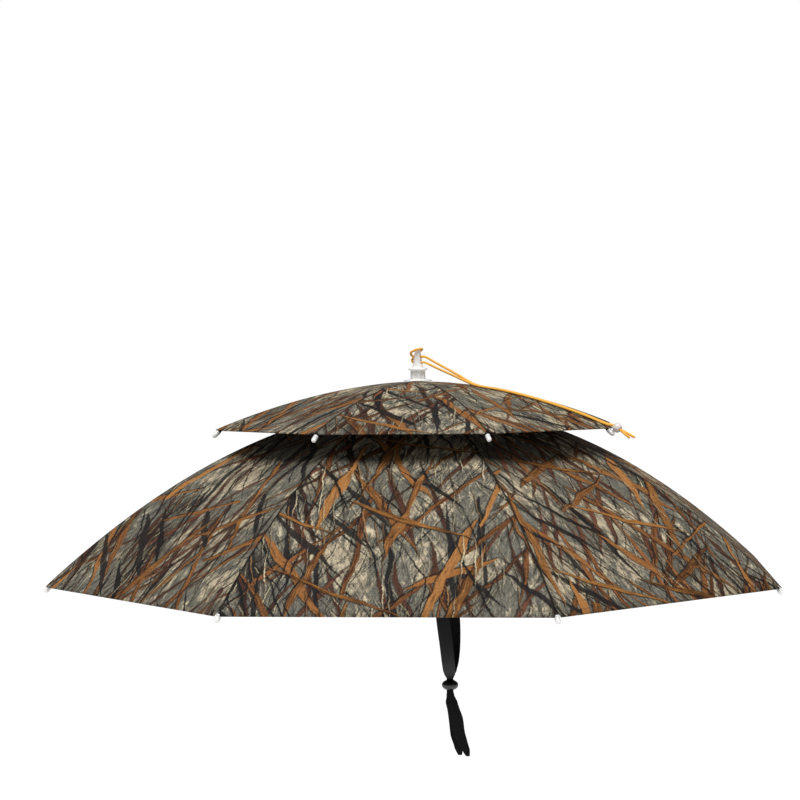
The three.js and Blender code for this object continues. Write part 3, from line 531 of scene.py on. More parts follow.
def camouflage(board, cloth):
    """The colour of the print at a place on the cloth, in millimetres."""
    drift = board.noise(cloth, 0.02, 2.0, kind="2D")["Color"]
    fray = board.noise(cloth, 0.45, 3.0, 0.75, kind="2D")["Color"]
    sway, ragged = (board.vector("MULTIPLY", board.vector("SUBTRACT", noise, (0.5, 0.5, 0.5)),
                                 (reach, reach, 0)) for noise, reach in ((drift, SWAY), (fray, FRAY)))
    bent = board.vector("ADD", cloth, board.vector("ADD", sway, ragged))
    patch = board.noise(bent, 0.013, 3.0, 0.6, "2D")["Fac"]
    flat = board.vector("MULTIPLY", bent, (1.0, 0.45, 0))
    crumbs = board.noise(flat, 0.15, 6.0, 0.7, "2D")["Fac"]
    groups = board.noise(cloth, 0.011, 2.0, 0.5, "2D")["Color"]
    group = board.add("ShaderNodeSeparateColor", None, {"Color": groups})
    colour = board.mix((crumbs * 1.8 - 0.4).limited(), paint("#3f3e38"), paint("#6e6c62"))
    tan = ((patch * 0.9 + crumbs * 0.6 - 0.75) * 10).limited()
    light = board.mix((crumbs * 3.6 - 1.4).limited(), paint("#766c5c"), paint("#b7aa8f"))
    colour = board.mix(tan * 0.92, colour, light)
    shadow = ((group["Green"] * 0.8 + crumbs * 0.5 - 0.73) * 9).limited()
    colour = board.mix(shadow * 0.85, colour, paint("#1c1410"))
    for *where, strength, tone in FIBRE_LAYERS:
        colour = board.mix(fibres(board, bent, *where) * strength, colour, paint(tone))
    for seed, layer in enumerate(STROKE_LAYERS, 1):
        colour = add_strokes(board, bent, colour, group, seed, layer)
    specks = board.noise(bent, 0.35, 3.0, 0.7, "2D")["Fac"]
    return board.mix(((specks - 0.6) * 9).limited() * 0.5, colour, paint("#15110e"))


# %% The printed cloth
THREAD_PITCH, CHECK_PITCH = 1.05, 5.2
SEAM_REACH, HEM_WIDTH, FOLD_EDGE, HEM_EDGE = 1.5 * MM, 7.5 * MM, 0.7 * MM, 0.5 * MM


def cloth_material(name, inside):
    """The inside is duller. The seam grooves and the hem's fold are darkened with painted shade."""
    material, board, shader = new_material(name, {
        "Sheen Weight": 0.015, "Sheen Roughness": 0.5, "Specular IOR Level": 0.08})
    place = board.add("ShaderNodeUVMap", {"uv_map": "ClothUV"})["UV"]
    cloth = board.vector("MULTIPLY", place, (1000, 1000, 0))
    colour = camouflage(board, cloth)
    seam, hem = (board.add("ShaderNodeAttribute", {"attribute_name": word})["Fac"]
                 for word in ("Seam", "Hem"))
    split = board.split(cloth)
    weft, warp = ((split[way] * (2 * math.pi / THREAD_PITCH)).math("SINE") for way in "XY")
    weave = weft * warp * 0.5 + 0.5
    lines = [(1 - (split[way] * (math.pi / CHECK_PITCH)).math("SINE") ** 2) ** 14 for way in "XY"]
    check = lines[0].math("MAXIMUM", lines[1])
    soil = board.noise(cloth, 0.006, 4.0, 0.6, "2D")["Fac"]
    groove = ((SEAM_REACH - seam) / FOLD_EDGE).limited()
    fold = (1 - abs(hem - HEM_WIDTH) / FOLD_EDGE).limited()
    # painted shade: the seam's groove is darkened nearly to black, as shade lying in the recess
    colour = board.mix(groove * 0.85, colour, paint("#0c0a08"))
    # painted shade: a faint dark line along the hem's fold, as shade in its crease
    colour = board.mix(fold * 0.25, colour, paint("#1b1815"))
    colour = board.add("ShaderNodeVectorMath", {"operation": "SCALE"}, {
        "Vector": colour, "Scale": check * 0.26 + weave * 0.16 + 1.04})["Vector"]
    colour = board.mix((soil * 1.4 - 0.5).limited() * 0.16, colour, paint("#1f1d1a"))
    if inside:
        colour = board.mix(0.55, colour, paint("#2b2a28"))
    hem_step = (0.5 - (hem - HEM_WIDTH) / HEM_EDGE).limited()
    ripple = board.noise(cloth, 0.03, 3.0, 0.5, "2D")["Fac"]
    height = (weave * 0.05 + check * 0.04 - groove * 0.9 + hem_step * 0.25 - fold * 0.25
              + ripple * 1.1)
    board.dress(shader, colour, soil * 0.16 + 0.6, height, 1.2 * MM, 0.6)
    return material


face_cloth = cloth_material("camouflage_face", False)
back_cloth = cloth_material("camouflage_back", True)
print("nodes in the print:", len(face_cloth.node_tree.nodes))

# %% [markdown]
# ## The canopies as cloth
# Each canopy is eight panels sewn along the ribs. Its shape follows one rule, so Geometry Nodes
# make it: a flat grid, whose columns go once round and whose rows go from the post to the hem,
# is moved on to the rule's surface. The columns crowd together near the seams, where the crease
# and the little notch at each rib's tip need them. The UV map is written while the grid is still
# flat, with each face's own panel, so that the seams stay clean.

# %% Helpers for node groups


def new_group(name, inputs):
    """A Geometry Nodes group with a geometry in and out, the named inputs and a material."""
    tree = bpy.data.node_groups.new(name, "GeometryNodeTree")
    tree.interface.new_socket(name="Geometry", in_out="INPUT", socket_type="NodeSocketGeometry")
    for label, (kind, value) in {**inputs, "Material": ("Material", None)}.items():
        socket = tree.interface.new_socket(name=label, in_out="INPUT",
                                           socket_type="NodeSocket" + kind)
        if value is not None:
            socket.default_value = value
    tree.interface.new_socket(name="Geometry", in_out="OUTPUT", socket_type="NodeSocketGeometry")
    board = Board(tree)
    return tree, board, board.add("NodeGroupInput")


def end_group(board, geometry, material):
    """Every tree ends in real geometry with its material set."""
    real = board.add("GeometryNodeRealizeInstances", None, {"Geometry": geometry})["Geometry"]
    done = board.add("GeometryNodeSetMaterial", None, {"Geometry": real, "Material": material})
    board.add("NodeGroupOutput", None, {"Geometry": done["Geometry"]})


def keep_result(piece, modifier):
    """Keeps what a modifier makes as the piece's own plain mesh, and removes the modifier."""
    graph = bpy.context.evaluated_depsgraph_get()
    graph.update()
    mesh = bpy.data.meshes.new_from_object(
        piece.evaluated_get(graph), preserve_all_data_layers=True, depsgraph=graph)
    piece.modifiers.remove(modifier)
    old, piece.data = piece.data, mesh
    bpy.data.meshes.remove(old)
    mesh.name = piece.name


def run_group(piece, tree, values):
    """Runs a group on a piece, with its inputs set by their sockets' identifiers."""
    modifier = piece.modifiers.new("nodes", "NODES")
    modifier.node_group = tree
    sockets = {item.name: item.identifier for item in tree.interface.items_tree
               if item.item_type == "SOCKET" and item.in_out == "INPUT"}
    for label, value in values.items():
        modifier[sockets[label]] = value
    keep_result(piece, modifier)


# %% The canopy's tree
PANEL_SHIFT, TIER_SHIFT = (0.731, 0.517), 3.1
WELD = 2e-6


def canopy_group():
    """Eight panels of cloth from a flat grid, by the rule of a canopy."""
    sizes = ("Radius", "Apex", "Rise", "Bend", "Sag", "Hole", "Notch Depth", "Notch Half Width")
    tree, board, given = new_group("canopy_panels", {
        **{name: ("Float", 0.1) for name in sizes}, "Columns": ("Int", 28), "Rows": ("Int", 60)})
    radius, bend, rise = given["Radius"], given["Bend"], given["Rise"]
    grid = board.add("GeometryNodeMeshGrid", None, {
        "Size X": 1.0, "Size Y": 1.0, "Vertices X": given["Columns"] * RIB_COUNT + 1,
        "Vertices Y": given["Rows"] + 1})["Mesh"]
    flat = board.split(board.add("GeometryNodeInputPosition")["Position"])
    turn = (flat["X"] + 0.5) * RIB_COUNT
    on_face = board.add("GeometryNodeFieldOnDomain", {"domain": "FACE"}, {0: turn})[0]
    panel_of_face = on_face.math("FLOOR")
    panel_of_point = turn.math("MINIMUM", RIB_COUNT - 0.0001).math("FLOOR")
    half_sine, half_cosine = math.sin(HALF_STEP), math.cos(HALF_STEP)

    def place(panel):
        """What the rule gives for a place on the flat grid that belongs to this panel."""
        share_across = (turn - panel).limited()
        across = share_across ** 3 * (share_across * (share_across * 6 - 15) + 10)
        beside = (1 - abs(across * 2 - 1)) * half_sine
        bite = (1 - beside * radius / given["Notch Half Width"]).limited() ** 0.5
        inner = given["Hole"] / radius
        end = 1 - bite * given["Notch Depth"] / radius
        share = inner + (end - inner) * (0.5 - flat["Y"])
        fall = rise * bend / radius * share ** (bend - 1)
        aside = radius * share * (across * 2 - 1) * half_sine
        return share, fall, aside, across, beside, end

    share, fall, aside, _, beside, end = place(panel_of_face)
    down = radius * share * half_cosine * (fall * fall / ((bend * 2 - 1) * 2) + 1)
    flat_place = board.join(aside + panel_of_face * PANEL_SHIFT[0] + radius * TIER_SHIFT,
                            down + panel_of_face * PANEL_SHIFT[1], 0.0)
    from_hem = (end - share) * radius * (fall * fall + 1) ** 0.5
    mesh = grid
    for name, kind, value in (("ClothUV", "FLOAT2", flat_place), ("Hem", "FLOAT", from_hem),
                              ("Seam", "FLOAT", beside * share * radius)):
        mesh = board.add("GeometryNodeStoreNamedAttribute", {"data_type": kind, "domain": "CORNER"},
                         {"Geometry": mesh, "Name": name, "Value": value})["Geometry"]
    share, fall, aside, across = place(panel_of_point)[:4]
    ahead = radius * share * half_cosine
    hollow = (given["Sag"] * radius * share * (2 * half_sine) * (share * math.pi).math("SINE")
              * across * (1 - across) * 4)
    inward = hollow / (fall * fall + 1) ** 0.5
    shrink = 1 - inward * fall / (ahead * ahead + aside * aside) ** 0.5
    middle = (panel_of_point + 0.5) * RIB_STEP + FIRST_RIB
    cosine, sine = middle.math("COSINE"), middle.math("SINE")
    point = board.join((ahead * cosine - aside * sine) * shrink,
                       (ahead * sine + aside * cosine) * shrink,
                       given["Apex"] - rise * share ** bend - inward)
    bent = board.add("GeometryNodeSetPosition", None, {"Geometry": mesh, "Position": point})
    welded = board.add("GeometryNodeMergeByDistance", None, {
        "Geometry": bent["Geometry"], "Distance": WELD})
    end_group(board, welded["Geometry"], given["Material"])
    return tree


canopy_tree = canopy_group()
print("nodes in the canopy's tree:", len(canopy_tree.nodes))

# %% Make the two canopies
HOLE_CORNER, NOTCH_HALF_WIDTH, FABRIC_WALL = 6.1 * MM, 3.4 * MM, 0.9 * MM


def make_canopy(name, tier, columns, rows):
    """One canopy of cloth and the area of its face."""
    piece = new_piece(name, bpy.data.meshes.new(name))
    run_group(piece, canopy_tree, {
        **{word.title(): tier[word] for word in ("radius", "apex", "rise", "bend", "sag")},
        "Hole": HOLE_CORNER, "Notch Depth": NOTCH, "Notch Half Width": NOTCH_HALF_WIDTH,
        "Columns": columns, "Rows": rows, "Material": face_cloth})
    area = sum(face.area for face in piece.data.polygons)
    up = sum(face.normal.z * face.area for face in piece.data.polygons) / area
    piece.data.materials.append(back_cloth)
    wall = piece.modifiers.new("wall", "SOLIDIFY")
    wall.thickness, wall.offset, wall.material_offset, wall.use_rim = FABRIC_WALL, -1, 1, True
    piece.data.shade_smooth()
    print(name, len(piece.data.polygons), "faces, area", round(area, 3), "m2,",
          "mean upward normal", round(up, 2))
    return piece, area


lower_cloth, lower_area = make_canopy("lower_cloth", LOWER, 36, 60)
upper_cloth, upper_area = make_canopy("upper_cloth", UPPER, 32, 40)

# %% [markdown]
# ## Wires, stitches and caps round the post
# What sits once on a rib sits eight times on the hat. One kind of tree makes that fan: it copies
# a shape to points that all lie on the post, each turned by one rib's step. Three such trees
# differ in the shape. One takes what it is given, one sweeps a round section along a line, for
# the wires, and one sets short stitches along a line, for the hem.

# %% The trees


def fan_group(name, sizes, shape):
    """A tree that fans a shape round the post. shape adds the nodes that make it."""
    tree, board, given = new_group(name, {
        "Count": ("Int", RIB_COUNT), "First Angle": ("Float", 0.0), **sizes})
    made = shape(board, given)
    points = board.add("GeometryNodePoints", None, {"Count": given["Count"]})["Points"]
    index = board.add("GeometryNodeInputIndex")["Index"]
    angle = index * (2 * math.pi) / given["Count"] + given["First Angle"]
    fan = board.add("GeometryNodeInstanceOnPoints", None, {
        "Points": points, "Instance": made, "Rotation": board.join(0.0, 0.0, angle)})["Instances"]
    end_group(board, fan, given["Material"])
    return tree


def wire(board, given):
    line = board.add("GeometryNodeMeshToCurve", None, {"Mesh": given["Geometry"]})["Curve"]
    section = board.add("GeometryNodeCurvePrimitiveCircle", None, {
        "Resolution": given["Sides"], "Radius": given["Wire Radius"]})["Curve"]
    swept = board.add("GeometryNodeCurveToMesh", None, {
        "Curve": line, "Profile Curve": section, "Fill Caps": True})["Mesh"]
    return board.add("GeometryNodeSetShadeSmooth", None, {
        "Geometry": swept, "Shade Smooth": True})["Geometry"]


def stitches(board, given):
    line = board.add("GeometryNodeMeshToCurve", None, {"Mesh": given["Geometry"]})["Curve"]
    spots = board.add("GeometryNodeCurveToPoints", {"mode": "LENGTH"}, {
        "Curve": line, "Length": given["Pitch"]})
    ball = board.add("GeometryNodeMeshUVSphere", None, {
        "Segments": 6, "Rings": 4, "Radius": 1.0})["Mesh"]
    thick = given["Thread Radius"]
    row = board.add("GeometryNodeInstanceOnPoints", None, {
        "Points": spots["Points"], "Instance": ball, "Rotation": spots["Rotation"],
        "Scale": board.join(thick, thick, given["Stitch Length"] / 2)})["Instances"]
    return board.add("GeometryNodeRealizeInstances", None, {"Geometry": row})["Geometry"]


fan_tree = fan_group("fan_round_the_post", {}, lambda board, given: given["Geometry"])
wire_tree = fan_group("fan_of_wires", {"Wire Radius": ("Float", 0.001), "Sides": ("Int", 12)}, wire)
stitch_tree = fan_group("fan_of_stitches", {
    "Pitch": ("Float", 0.003), "Stitch Length": ("Float", 0.002),
    "Thread Radius": ("Float", 0.0002)}, stitches)
pieces = {}


def fan_piece(name, mesh, tree, material, stands_for, slot_name, first=FIRST_RIB, sizes=None):
    """One piece that holds the mesh's shape once for each rib."""
    piece = new_piece(name, mesh)
    run_group(piece, tree, {
        "Count": RIB_COUNT, "First Angle": first, "Material": material, **(sizes or {})})
    pieces[name] = (piece, stands_for, slot_name)
    print(name, len(piece.data.polygons), "faces")
    return piece


def line_mesh(name, points):
    mesh = bpy.data.meshes.new(name)
    mesh.from_pydata([tuple(p) for p in points], [(i, i + 1) for i in range(len(points) - 1)], [])
    return mesh


def numbered(stem):
    return [f"{stem}_{number}" for number in range(1, RIB_COUNT + 1)]


# %% [markdown]
# ## Finishes of the hard pieces
# The ribs are plated wire, the finial, caps and bead are moulded in milky clear plastic, and the
# hubs and the cradle are black plastic with the fine bloom of a cheap mould. Each finish varies a
# little over its surface, because nothing handled is perfectly even. The clear plastics also get a
# faint painted glow, an emission that makes them brighter than the lamps alone would.

# %% Plastic and metal


def plain_finish(name, dark, light, rough, rough_spread, grain, bump, constants):
    """A finish whose tone and roughness wander a little, with a fine grain."""
    material, board, shader = new_material(name, constants)
    place = board.add("ShaderNodeTexCoord")["Object"]
    cloud, fine = board.noise(place, 60.0)["Fac"], board.noise(place, grain)["Fac"]
    board.dress(shader, board.mix(cloud, paint(dark), paint(light)),
                cloud * rough_spread + fine * 0.05 + rough, fine, bump * MM, 0.5)
    return material


def refinish(material, *names):
    """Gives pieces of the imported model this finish."""
    for name in names:
        for slot in nodes[name].material_slots:
            slot.material = material


# the emission here is a painted glow: it makes the clear plastics shine brighter than the lamps light
# them
cloudy_and_glowing = {"Subsurface Weight": 0.75, "Subsurface Radius": (0.006, 0.006, 0.006),
          "Subsurface Scale": 1.0, "Emission Color": (1, 0.98, 0.95, 1), "Emission Strength": 0.04,
          "IOR": 1.49, "Coat Weight": 0.3, "Coat Roughness": 0.15}
milky = plain_finish("milky_plastic", "#d9d8d4", "#efeeeb", 0.2, 0.12, 900, 0.04, cloudy_and_glowing)
smoky = plain_finish("smoky_plastic", "#c4bab6", "#ddd5d1", 0.18, 0.12, 900, 0.04, cloudy_and_glowing)
steel = plain_finish("plated_wire", "#9fa2a4", "#c9cbcc", 0.24, 0.14, 1500, 0.03, {"Metallic": 1.0})
black = plain_finish("black_moulding", "#121213", "#1d1d1f", 0.42, 0.16, 1800, 0.06, {})
gloss = plain_finish("polished_black", "#08080a", "#101013", 0.12, 0.1, 700, 0.03, {
    "Coat Weight": 0.6, "Coat Roughness": 0.08})
thread = plain_finish("dark_thread", "#241f1a", "#3b342b", 0.75, 0.15, 3000, 0.05, {})
refinish(steel, "post", *numbered("stretcher"))
refinish(black, "lower_crown", "upper_crown", "runner", "head_cradle")
print("finishes:", [m.name for m in (milky, smoky, steel, black, gloss, thread)])

# %% Ribs as round wire
RIB_START, RIB_STEPS, CAP_MOUTH, WIRE_END = 7.8 * MM, 48, 2.4 * MM, 7.5 * MM


def rib_line(tier):
    """The middle of a rib, in the upright plane of azimuth 0. Its last three points are at the
    cloth's notch, at the cap's mouth and at the wire's end."""
    first, notch = RIB_START / tier["radius"], 1 - NOTCH / tier["radius"]
    line = []
    for step in range(RIB_STEPS + 1):
        reach, height = ridge(tier, first + (notch - first) * step / RIB_STEPS, RIB_DEPTH)
        line.append(Vector((reach, 0, height)))
    droop = math.radians(tier["droop"])
    run = Vector((math.cos(droop), 0, -math.sin(droop)))
    return line + [line[-1] + run * CAP_MOUTH, line[-1] + run * WIRE_END]


for word, tier in TIERS:
    fan_piece(f"{word}_wires", line_mesh(f"{word}_wires", rib_line(tier)), wire_tree, steel,
              numbered(f"{word}_rib"), "steel_wire", sizes={"Wire Radius": RIB_RADIUS, "Sides": 12})

# %% Caps on the tips
CAP_BORE, CAP_SOCKET, CAP_LENGTH, CAP_GROOVE = 1.6 * MM, 5.4 * MM, 8.2 * MM, 0.2 * MM


def turned_rings(profile, sides):
    """Rings of a turned body about +Z from pairs of reach and height, lowest first."""
    return [[(r * math.cos(2 * math.pi * s / sides), r * math.sin(2 * math.pi * s / sides), h)
             for s in range(sides)] for r, h in profile]


def on_tip(mesh, tier, point):
    """Lays a mesh made about +Z along the tip of a rib, from this point on."""
    turn = Matrix.Rotation(math.radians(90 + tier["droop"]), 4, "Y")
    mesh.transform(Matrix.Translation(point) @ turn)
    return mesh


def cap_profile():
    """Reach and height of a cap: up its bore, over its open mouth and to its round end."""
    bore, outer, groove = CAP_BORE, CAP_RADIUS, CAP_RADIUS - CAP_GROOVE
    profile = [(bore, CAP_SOCKET), (bore, 0.25 * MM), (bore + 0.25 * MM, 0), (outer - 0.3 * MM, 0),
               (outer, 0.35 * MM), (outer, 1.6 * MM), (groove, 2 * MM), (groove, 2.4 * MM),
               (outer, 2.8 * MM)]
    for step in range(8):
        angle = math.pi / 2 * step / 8
        profile.append((outer * math.cos(angle), CAP_LENGTH - outer + outer * math.sin(angle)))
    return profile + [(0.12 * MM, CAP_LENGTH)]


for word, tier in TIERS:
    mesh = loft(f"{word}_caps", turned_rings(cap_profile(), 20), degrees=50)
    fan_piece(f"{word}_caps", on_tip(mesh, tier, rib_line(tier)[-2]), fan_tree, milky,
              numbered(f"{word}_cap"), "clear_plastic")

# %% Thread whipped round the tips
WHIP_INNER, WHIP_END, WHIP_LOW, WHIP_HIGH = 1.3 * MM, 1.55 * MM, 1.65 * MM, 1.95 * MM
WHIP_PITCH = 0.5 * MM


def whipping_profile():
    """Reach and height of a few turns of thread, from the cloth's notch to the cap."""
    profile = [(WHIP_INNER, 0.3 * MM), (WHIP_END, 0.3 * MM)]
    for turn in range(4):
        profile += [(WHIP_HIGH, 0.52 * MM + WHIP_PITCH * turn),
                    (WHIP_LOW, 0.77 * MM + WHIP_PITCH * turn)]
    return profile[:-1] + [(WHIP_END, 2.25 * MM), (WHIP_INNER, 2.25 * MM)]


for word, tier in TIERS:
    mesh = loft(f"{word}_whippings", turned_rings(whipping_profile(), 14), loop=True, degrees=50)
    face_outwards(fan_piece(f"{word}_whippings", on_tip(mesh, tier, rib_line(tier)[-3]), fan_tree,
                            thread, [], "canopy_cloth"))

# %% Stitches along the hems
STITCH_INSET, STITCH_LINE, STITCH_LIFT, LINE_STEPS = 8 * MM, 6 * MM, 0.02 * MM, 40


def cloth_place(tier, across, from_hem, lift):
    """A point on the first panel's cloth, so far in from the hem and above it."""
    share = 1 - from_hem / (tier["radius"] * math.hypot(1, slope(tier, 1)))
    reach, fall = share * tier["radius"], slope(tier, share)
    ahead = reach * math.cos(HALF_STEP)
    aside = reach * (2 * across - 1) * math.sin(HALF_STEP)
    hollow = (tier["sag"] * reach * 2 * math.sin(HALF_STEP) * math.sin(math.pi * share)
              * 4 * across * (1 - across))
    inward = (hollow - lift) / math.hypot(1, fall)
    shrink = 1 - inward * fall / math.hypot(ahead, aside)
    height = tier["apex"] - tier["rise"] * share ** tier["bend"] - inward
    return Vector((ahead * shrink, aside * shrink, height))


for word, tier in TIERS:
    margin = STITCH_INSET / (2 * tier["radius"] * math.sin(HALF_STEP))
    shares = [margin + (1 - 2 * margin) * step / LINE_STEPS for step in range(LINE_STEPS + 1)]
    line = [cloth_place(tier, share, STITCH_LINE, STITCH_LIFT) for share in shares]
    fan_piece(f"{word}_hem_stitches", line_mesh(f"{word}_hem_stitches", line), stitch_tree, thread,
              [], "canopy_cloth", first=0.0,
              sizes={"Pitch": 3.1 * MM, "Stitch Length": 2.3 * MM, "Thread Radius": 0.22 * MM})

# %% [markdown]
# ## The finial and the bead
# The finial is one moulding: a thin flange on the cloth, a fluted column, a bevelled collar and a
# tapering spire with a slot for the cord. A stack of rings gives all of it, because only the
# radius changes with height and angle. The slot is then cut through with a Boolean.

# %% Build the finial
FINIAL_FOOT = UPPER["apex"] + CLEARANCE
FLUTES, FLUTE_DEPTH, FLUTE_STEEP, COLUMN_RADIUS = 8, 0.13, 1.6, 7.8 * MM
SLOT_WIDTH, SLOT_EDGE, CUTTER_LENGTH = 3.2 * MM, 0.5 * MM, 30 * MM
# reach and height in millimetres
flange = [(0.2, 0), (14.4, 0), (14.8, 0.3), (14.8, 0.8), (14.5, 1.1), (9.2, 2.3), (8.2, 2.5)]
column_heights = [2.8, 3.2, 5.5, 8, 10.2, 10.7]
collar = [(7.7, 11), (8.2, 11.3), (10.1, 12.2), (10.4, 12.5), (10.4, 12.9), (10.1, 13.2),
          (7, 14.1), (6.1, 14.35)]
# share of the spire's height, and reach along the slot and across it in millimetres
spire = [(0, 5.8, 4.6), (0.1, 5.35, 4.35), (0.2, 5, 4.1), (0.3, 4.7, 3.9), (0.45, 4.1, 3.6),
         (0.62, 3.5, 3.3), (0.7, 3.15, 3.05), (0.76, 2.9, 2.9), (0.84, 2.75, 2.75),
         (0.89, 2.7, 2.7), (0.91, 2.6, 2.6), (0.94, 2.2, 2.2), (0.955, 1.9, 1.9),
         (0.985, 1.6, 1.6), (1.0, 1.1, 1.1), (1.0, 0.1, 0.1)]


def finial_ring(height, along, across, flutes=0.0, sides=96):
    """One ring of the finial, with its first corner in line with the slot."""
    points = []
    for side in range(sides):
        angle = 2 * math.pi * side / sides
        wave = max(-1, min(1, FLUTE_STEEP * math.sin(angle * FLUTES)))
        shrink = 1 - flutes * (0.5 - 0.5 * math.cos(wave * math.pi / 2 + math.pi / 2))
        points.append(polar(CORD_AZIMUTH, along * shrink * math.cos(angle), FINIAL_FOOT + height,
                            across * shrink * math.sin(angle)))
    return points


def round_rings(profile):
    return [finial_ring(height * MM, reach * MM, reach * MM) for reach, height in profile]


def cut(piece, cutter):
    """Cuts one closed mesh from another, and keeps the result as a plain mesh."""
    modifier = piece.modifiers.new("cut", "BOOLEAN")
    modifier.operation, modifier.object, modifier.solver = "DIFFERENCE", cutter, "EXACT"
    keep_result(piece, modifier)
    bpy.data.objects.remove(cutter)
    soften(piece.data, 40)


def rounded_box(name, size, bevel, place):
    mesh = bpy.data.meshes.new(name)
    shape = bmesh.new()
    bmesh.ops.create_cube(shape, size=1.0, matrix=Matrix.Diagonal((*size, 1.0)))
    bmesh.ops.bevel(shape, geom=shape.edges[:], offset=bevel, segments=3, affect="EDGES",
                    profile=0.5)
    shape.to_mesh(mesh)
    shape.free()
    mesh.transform(place)
    return new_piece(name, mesh)


rings = round_rings(flange)
rings += [finial_ring(height * MM, COLUMN_RADIUS, COLUMN_RADIUS, FLUTE_DEPTH)
          for height in column_heights]
rings += round_rings(collar)
rings += [finial_ring(SPIRE_FOOT - FINIAL_FOOT + share * SPIRE_HEIGHT, along * MM, across * MM)
          for share, along, across in spire]
finial = new_piece("finial_moulding", loft("finial_moulding", rings, degrees=38))
cord_turn = Matrix.Rotation(CORD_AZIMUTH, 4, "Z")
slot_place = cord_turn @ Matrix.Translation((0, 0, (slot_low + slot_high) / 2))
slot_size = (CUTTER_LENGTH, SLOT_WIDTH, slot_high - slot_low)
cut(finial, rounded_box("slot", slot_size, SLOT_EDGE, slot_place))
finial.data.materials.clear()
finial.data.materials.append(milky)
pieces["finial"] = (finial, ["finial"], "clear_plastic")
print("finial", len(finial.data.polygons), "faces")

# %% The bead and the toggle
OUTER_STEPS, INNER_STEPS = 22, 4
BEAD_SLOT, TOGGLE_SLOT = (1.7 * MM, 3.2 * MM), (4.01 * MM, 2.6 * MM)
TOGGLE_RADII = (8.8 * MM, 7 * MM, 5.8 * MM)
toggle_middle = Vector((31, 0, -136.5)) * MM


def pierced_ball(name, radii, slot, sides, place):
    """A ball with a slot through it along Z: one ring section, closed on itself."""
    rings = []
    edge = math.asin(min(0.98, max(slot[0] / radii[0], slot[1] / radii[1]) * 0.98))

    def add_ring(height, sine, shrink):
        """A ring of the ball's skin, or of the slot's wall where the skin lies inside the slot."""
        ring = []
        for side in range(sides):
            turn = 2 * math.pi * side / sides
            c, s = math.cos(turn), math.sin(turn)
            x, y = radii[0] * sine * c, radii[1] * sine * s
            low = (abs(c) ** 4 / slot[0] ** 4 + abs(s) ** 4 / slot[1] ** 4) ** -0.25
            if math.hypot(x, y) < low:
                x, y = low * c * shrink, low * s * shrink
            ring.append((x, y, height))
        rings.append(ring)

    for step in range(OUTER_STEPS + 1):
        angle = edge + (math.pi - 2 * edge) * step / OUTER_STEPS
        add_ring(-radii[2] * math.cos(angle), math.sin(angle), 1)
    top = rings[-1][0][2]
    for step in range(1, INNER_STEPS):
        add_ring(top * (1 - 2 * step / INNER_STEPS), 0, 0.97)
    mesh = loft(name, rings, loop=True, degrees=50)
    mesh.transform(place)
    return new_piece(name, mesh)


bead_place = (cord_turn @ Matrix.Translation((bead_reach, 0, bead_height))
              @ Matrix.Rotation(math.pi / 2 + BEAD_TILT, 4, "Y"))
bead = pierced_ball("bead", (BEAD_RADIUS,) * 3, BEAD_SLOT, 40, bead_place)
bead.data.materials.append(smoky)
toggle = pierced_ball("toggle", TOGGLE_RADII, TOGGLE_SLOT, 48, Matrix.Translation(toggle_middle))
toggle.data.materials.append(gloss)
pieces["toggle"] = (toggle, ["strap_toggle"], "toggle_plastic")
print("bead", len(bead.data.polygons), "toggle", len(toggle.data.polygons))

# %% [markdown]
# ## Webbing and the head band
# Flat webbing is made directly: a rounded strip is swept through the same stations as its plain
# solid, with the stations smoothed. Its UV map runs along and across it in metres, which is all
# that a weave needs. The head band is the same idea on a closed oval.

# %% The chin strap
STRAP_WIDTH, STRAP_WALL, STRAP_AHEAD = 13.5 * MM, 1.2 * MM, 27 * MM
STRAP_LEAN, STRAP_SPLAY = 14 * MM, 4.2 * MM
STRAP_PARTING, STRAP_GATHER, STRAP_STEPS = 1 * MM, 1.33, 8
strap_stations = [
    # ahead, out, down, width, wall, lie, lean, splay
    (0, 1, -0.08, 1, 1, 1, 0, 0), (0, 1, 0.11, 1, 1, 1, 0, 0), (0.25, 0.99, 0.25, 1, 1, 0.8, 0, 0),
    (0.65, 0.935, 0.43, 1, 1, 0.4, 0, 0), (1.15, 0.81, 0.605, 1, 1, 0, 0, 0),
    (1.35, 0.605, 0.75, 1, 1, 0, 0, 0), (1.3, 0.367, 0.845, 0.97, 1, 0, 0, 0),
    (1.15, 0.152, 0.9, 0.86, 1.17, 0, 0, 0), (1.05, 0.044, 0.928, 0.68, STRAP_GATHER, 0, 0, 0),
    (1, 0, 0.95, 0.52, STRAP_GATHER, 0, 0, 0), (1, 0, 1.05, 0.52, STRAP_GATHER, 0, 0, 0),
    (1, 0.009, 1.08, 0.6, 1.17, 0, 0.02, 0), (1, 0.026, 1.14, 0.93, 1, 0, 0.12, 0.05),
    (1, 0.03, 1.24, 1.04, 1, 0, 0.38, 0.2), (1, 0.026, 1.38, 0.86, 1, 0, 0.56, 0.6),
    (1, 0.022, 1.48, 0.66, 1, 0, 0.84, 0.9), (1, 0.02, 1.545, 0.3, 1, 0, 1, 1)]
BAND_ALONG, BAND_ACROSS, BAND_ROOM = 100 * MM, 81 * MM, 3 * MM
oval_along, oval_across = BAND_ALONG + BAND_ROOM, BAND_ACROSS + BAND_ROOM
strap_angle = math.asin(STRAP_AHEAD / oval_along)
band_turn = -math.atan(oval_across / oval_along * math.tan(strap_angle))


def strip_section(half_width, half_wall, corners=4):
    """A strip's section with round edges: pairs along its width and its wall."""
    outline = []
    for quarter, side in enumerate((1, -1, -1, 1)):
        for step in range(corners + 1):
            angle = math.pi / 2 * (quarter + step / corners)
            outline.append((side * (half_width - half_wall) + half_wall * math.cos(angle),
                            half_wall * math.sin(angle)))
    return outline


def strip_mesh(name, rings, section, loop=False):
    """A strip over its rings, with the UV map's X in metres across it."""
    return loft(name, rings, loop=loop, uv_round=[a for a, _ in section + section[:1]], degrees=60)


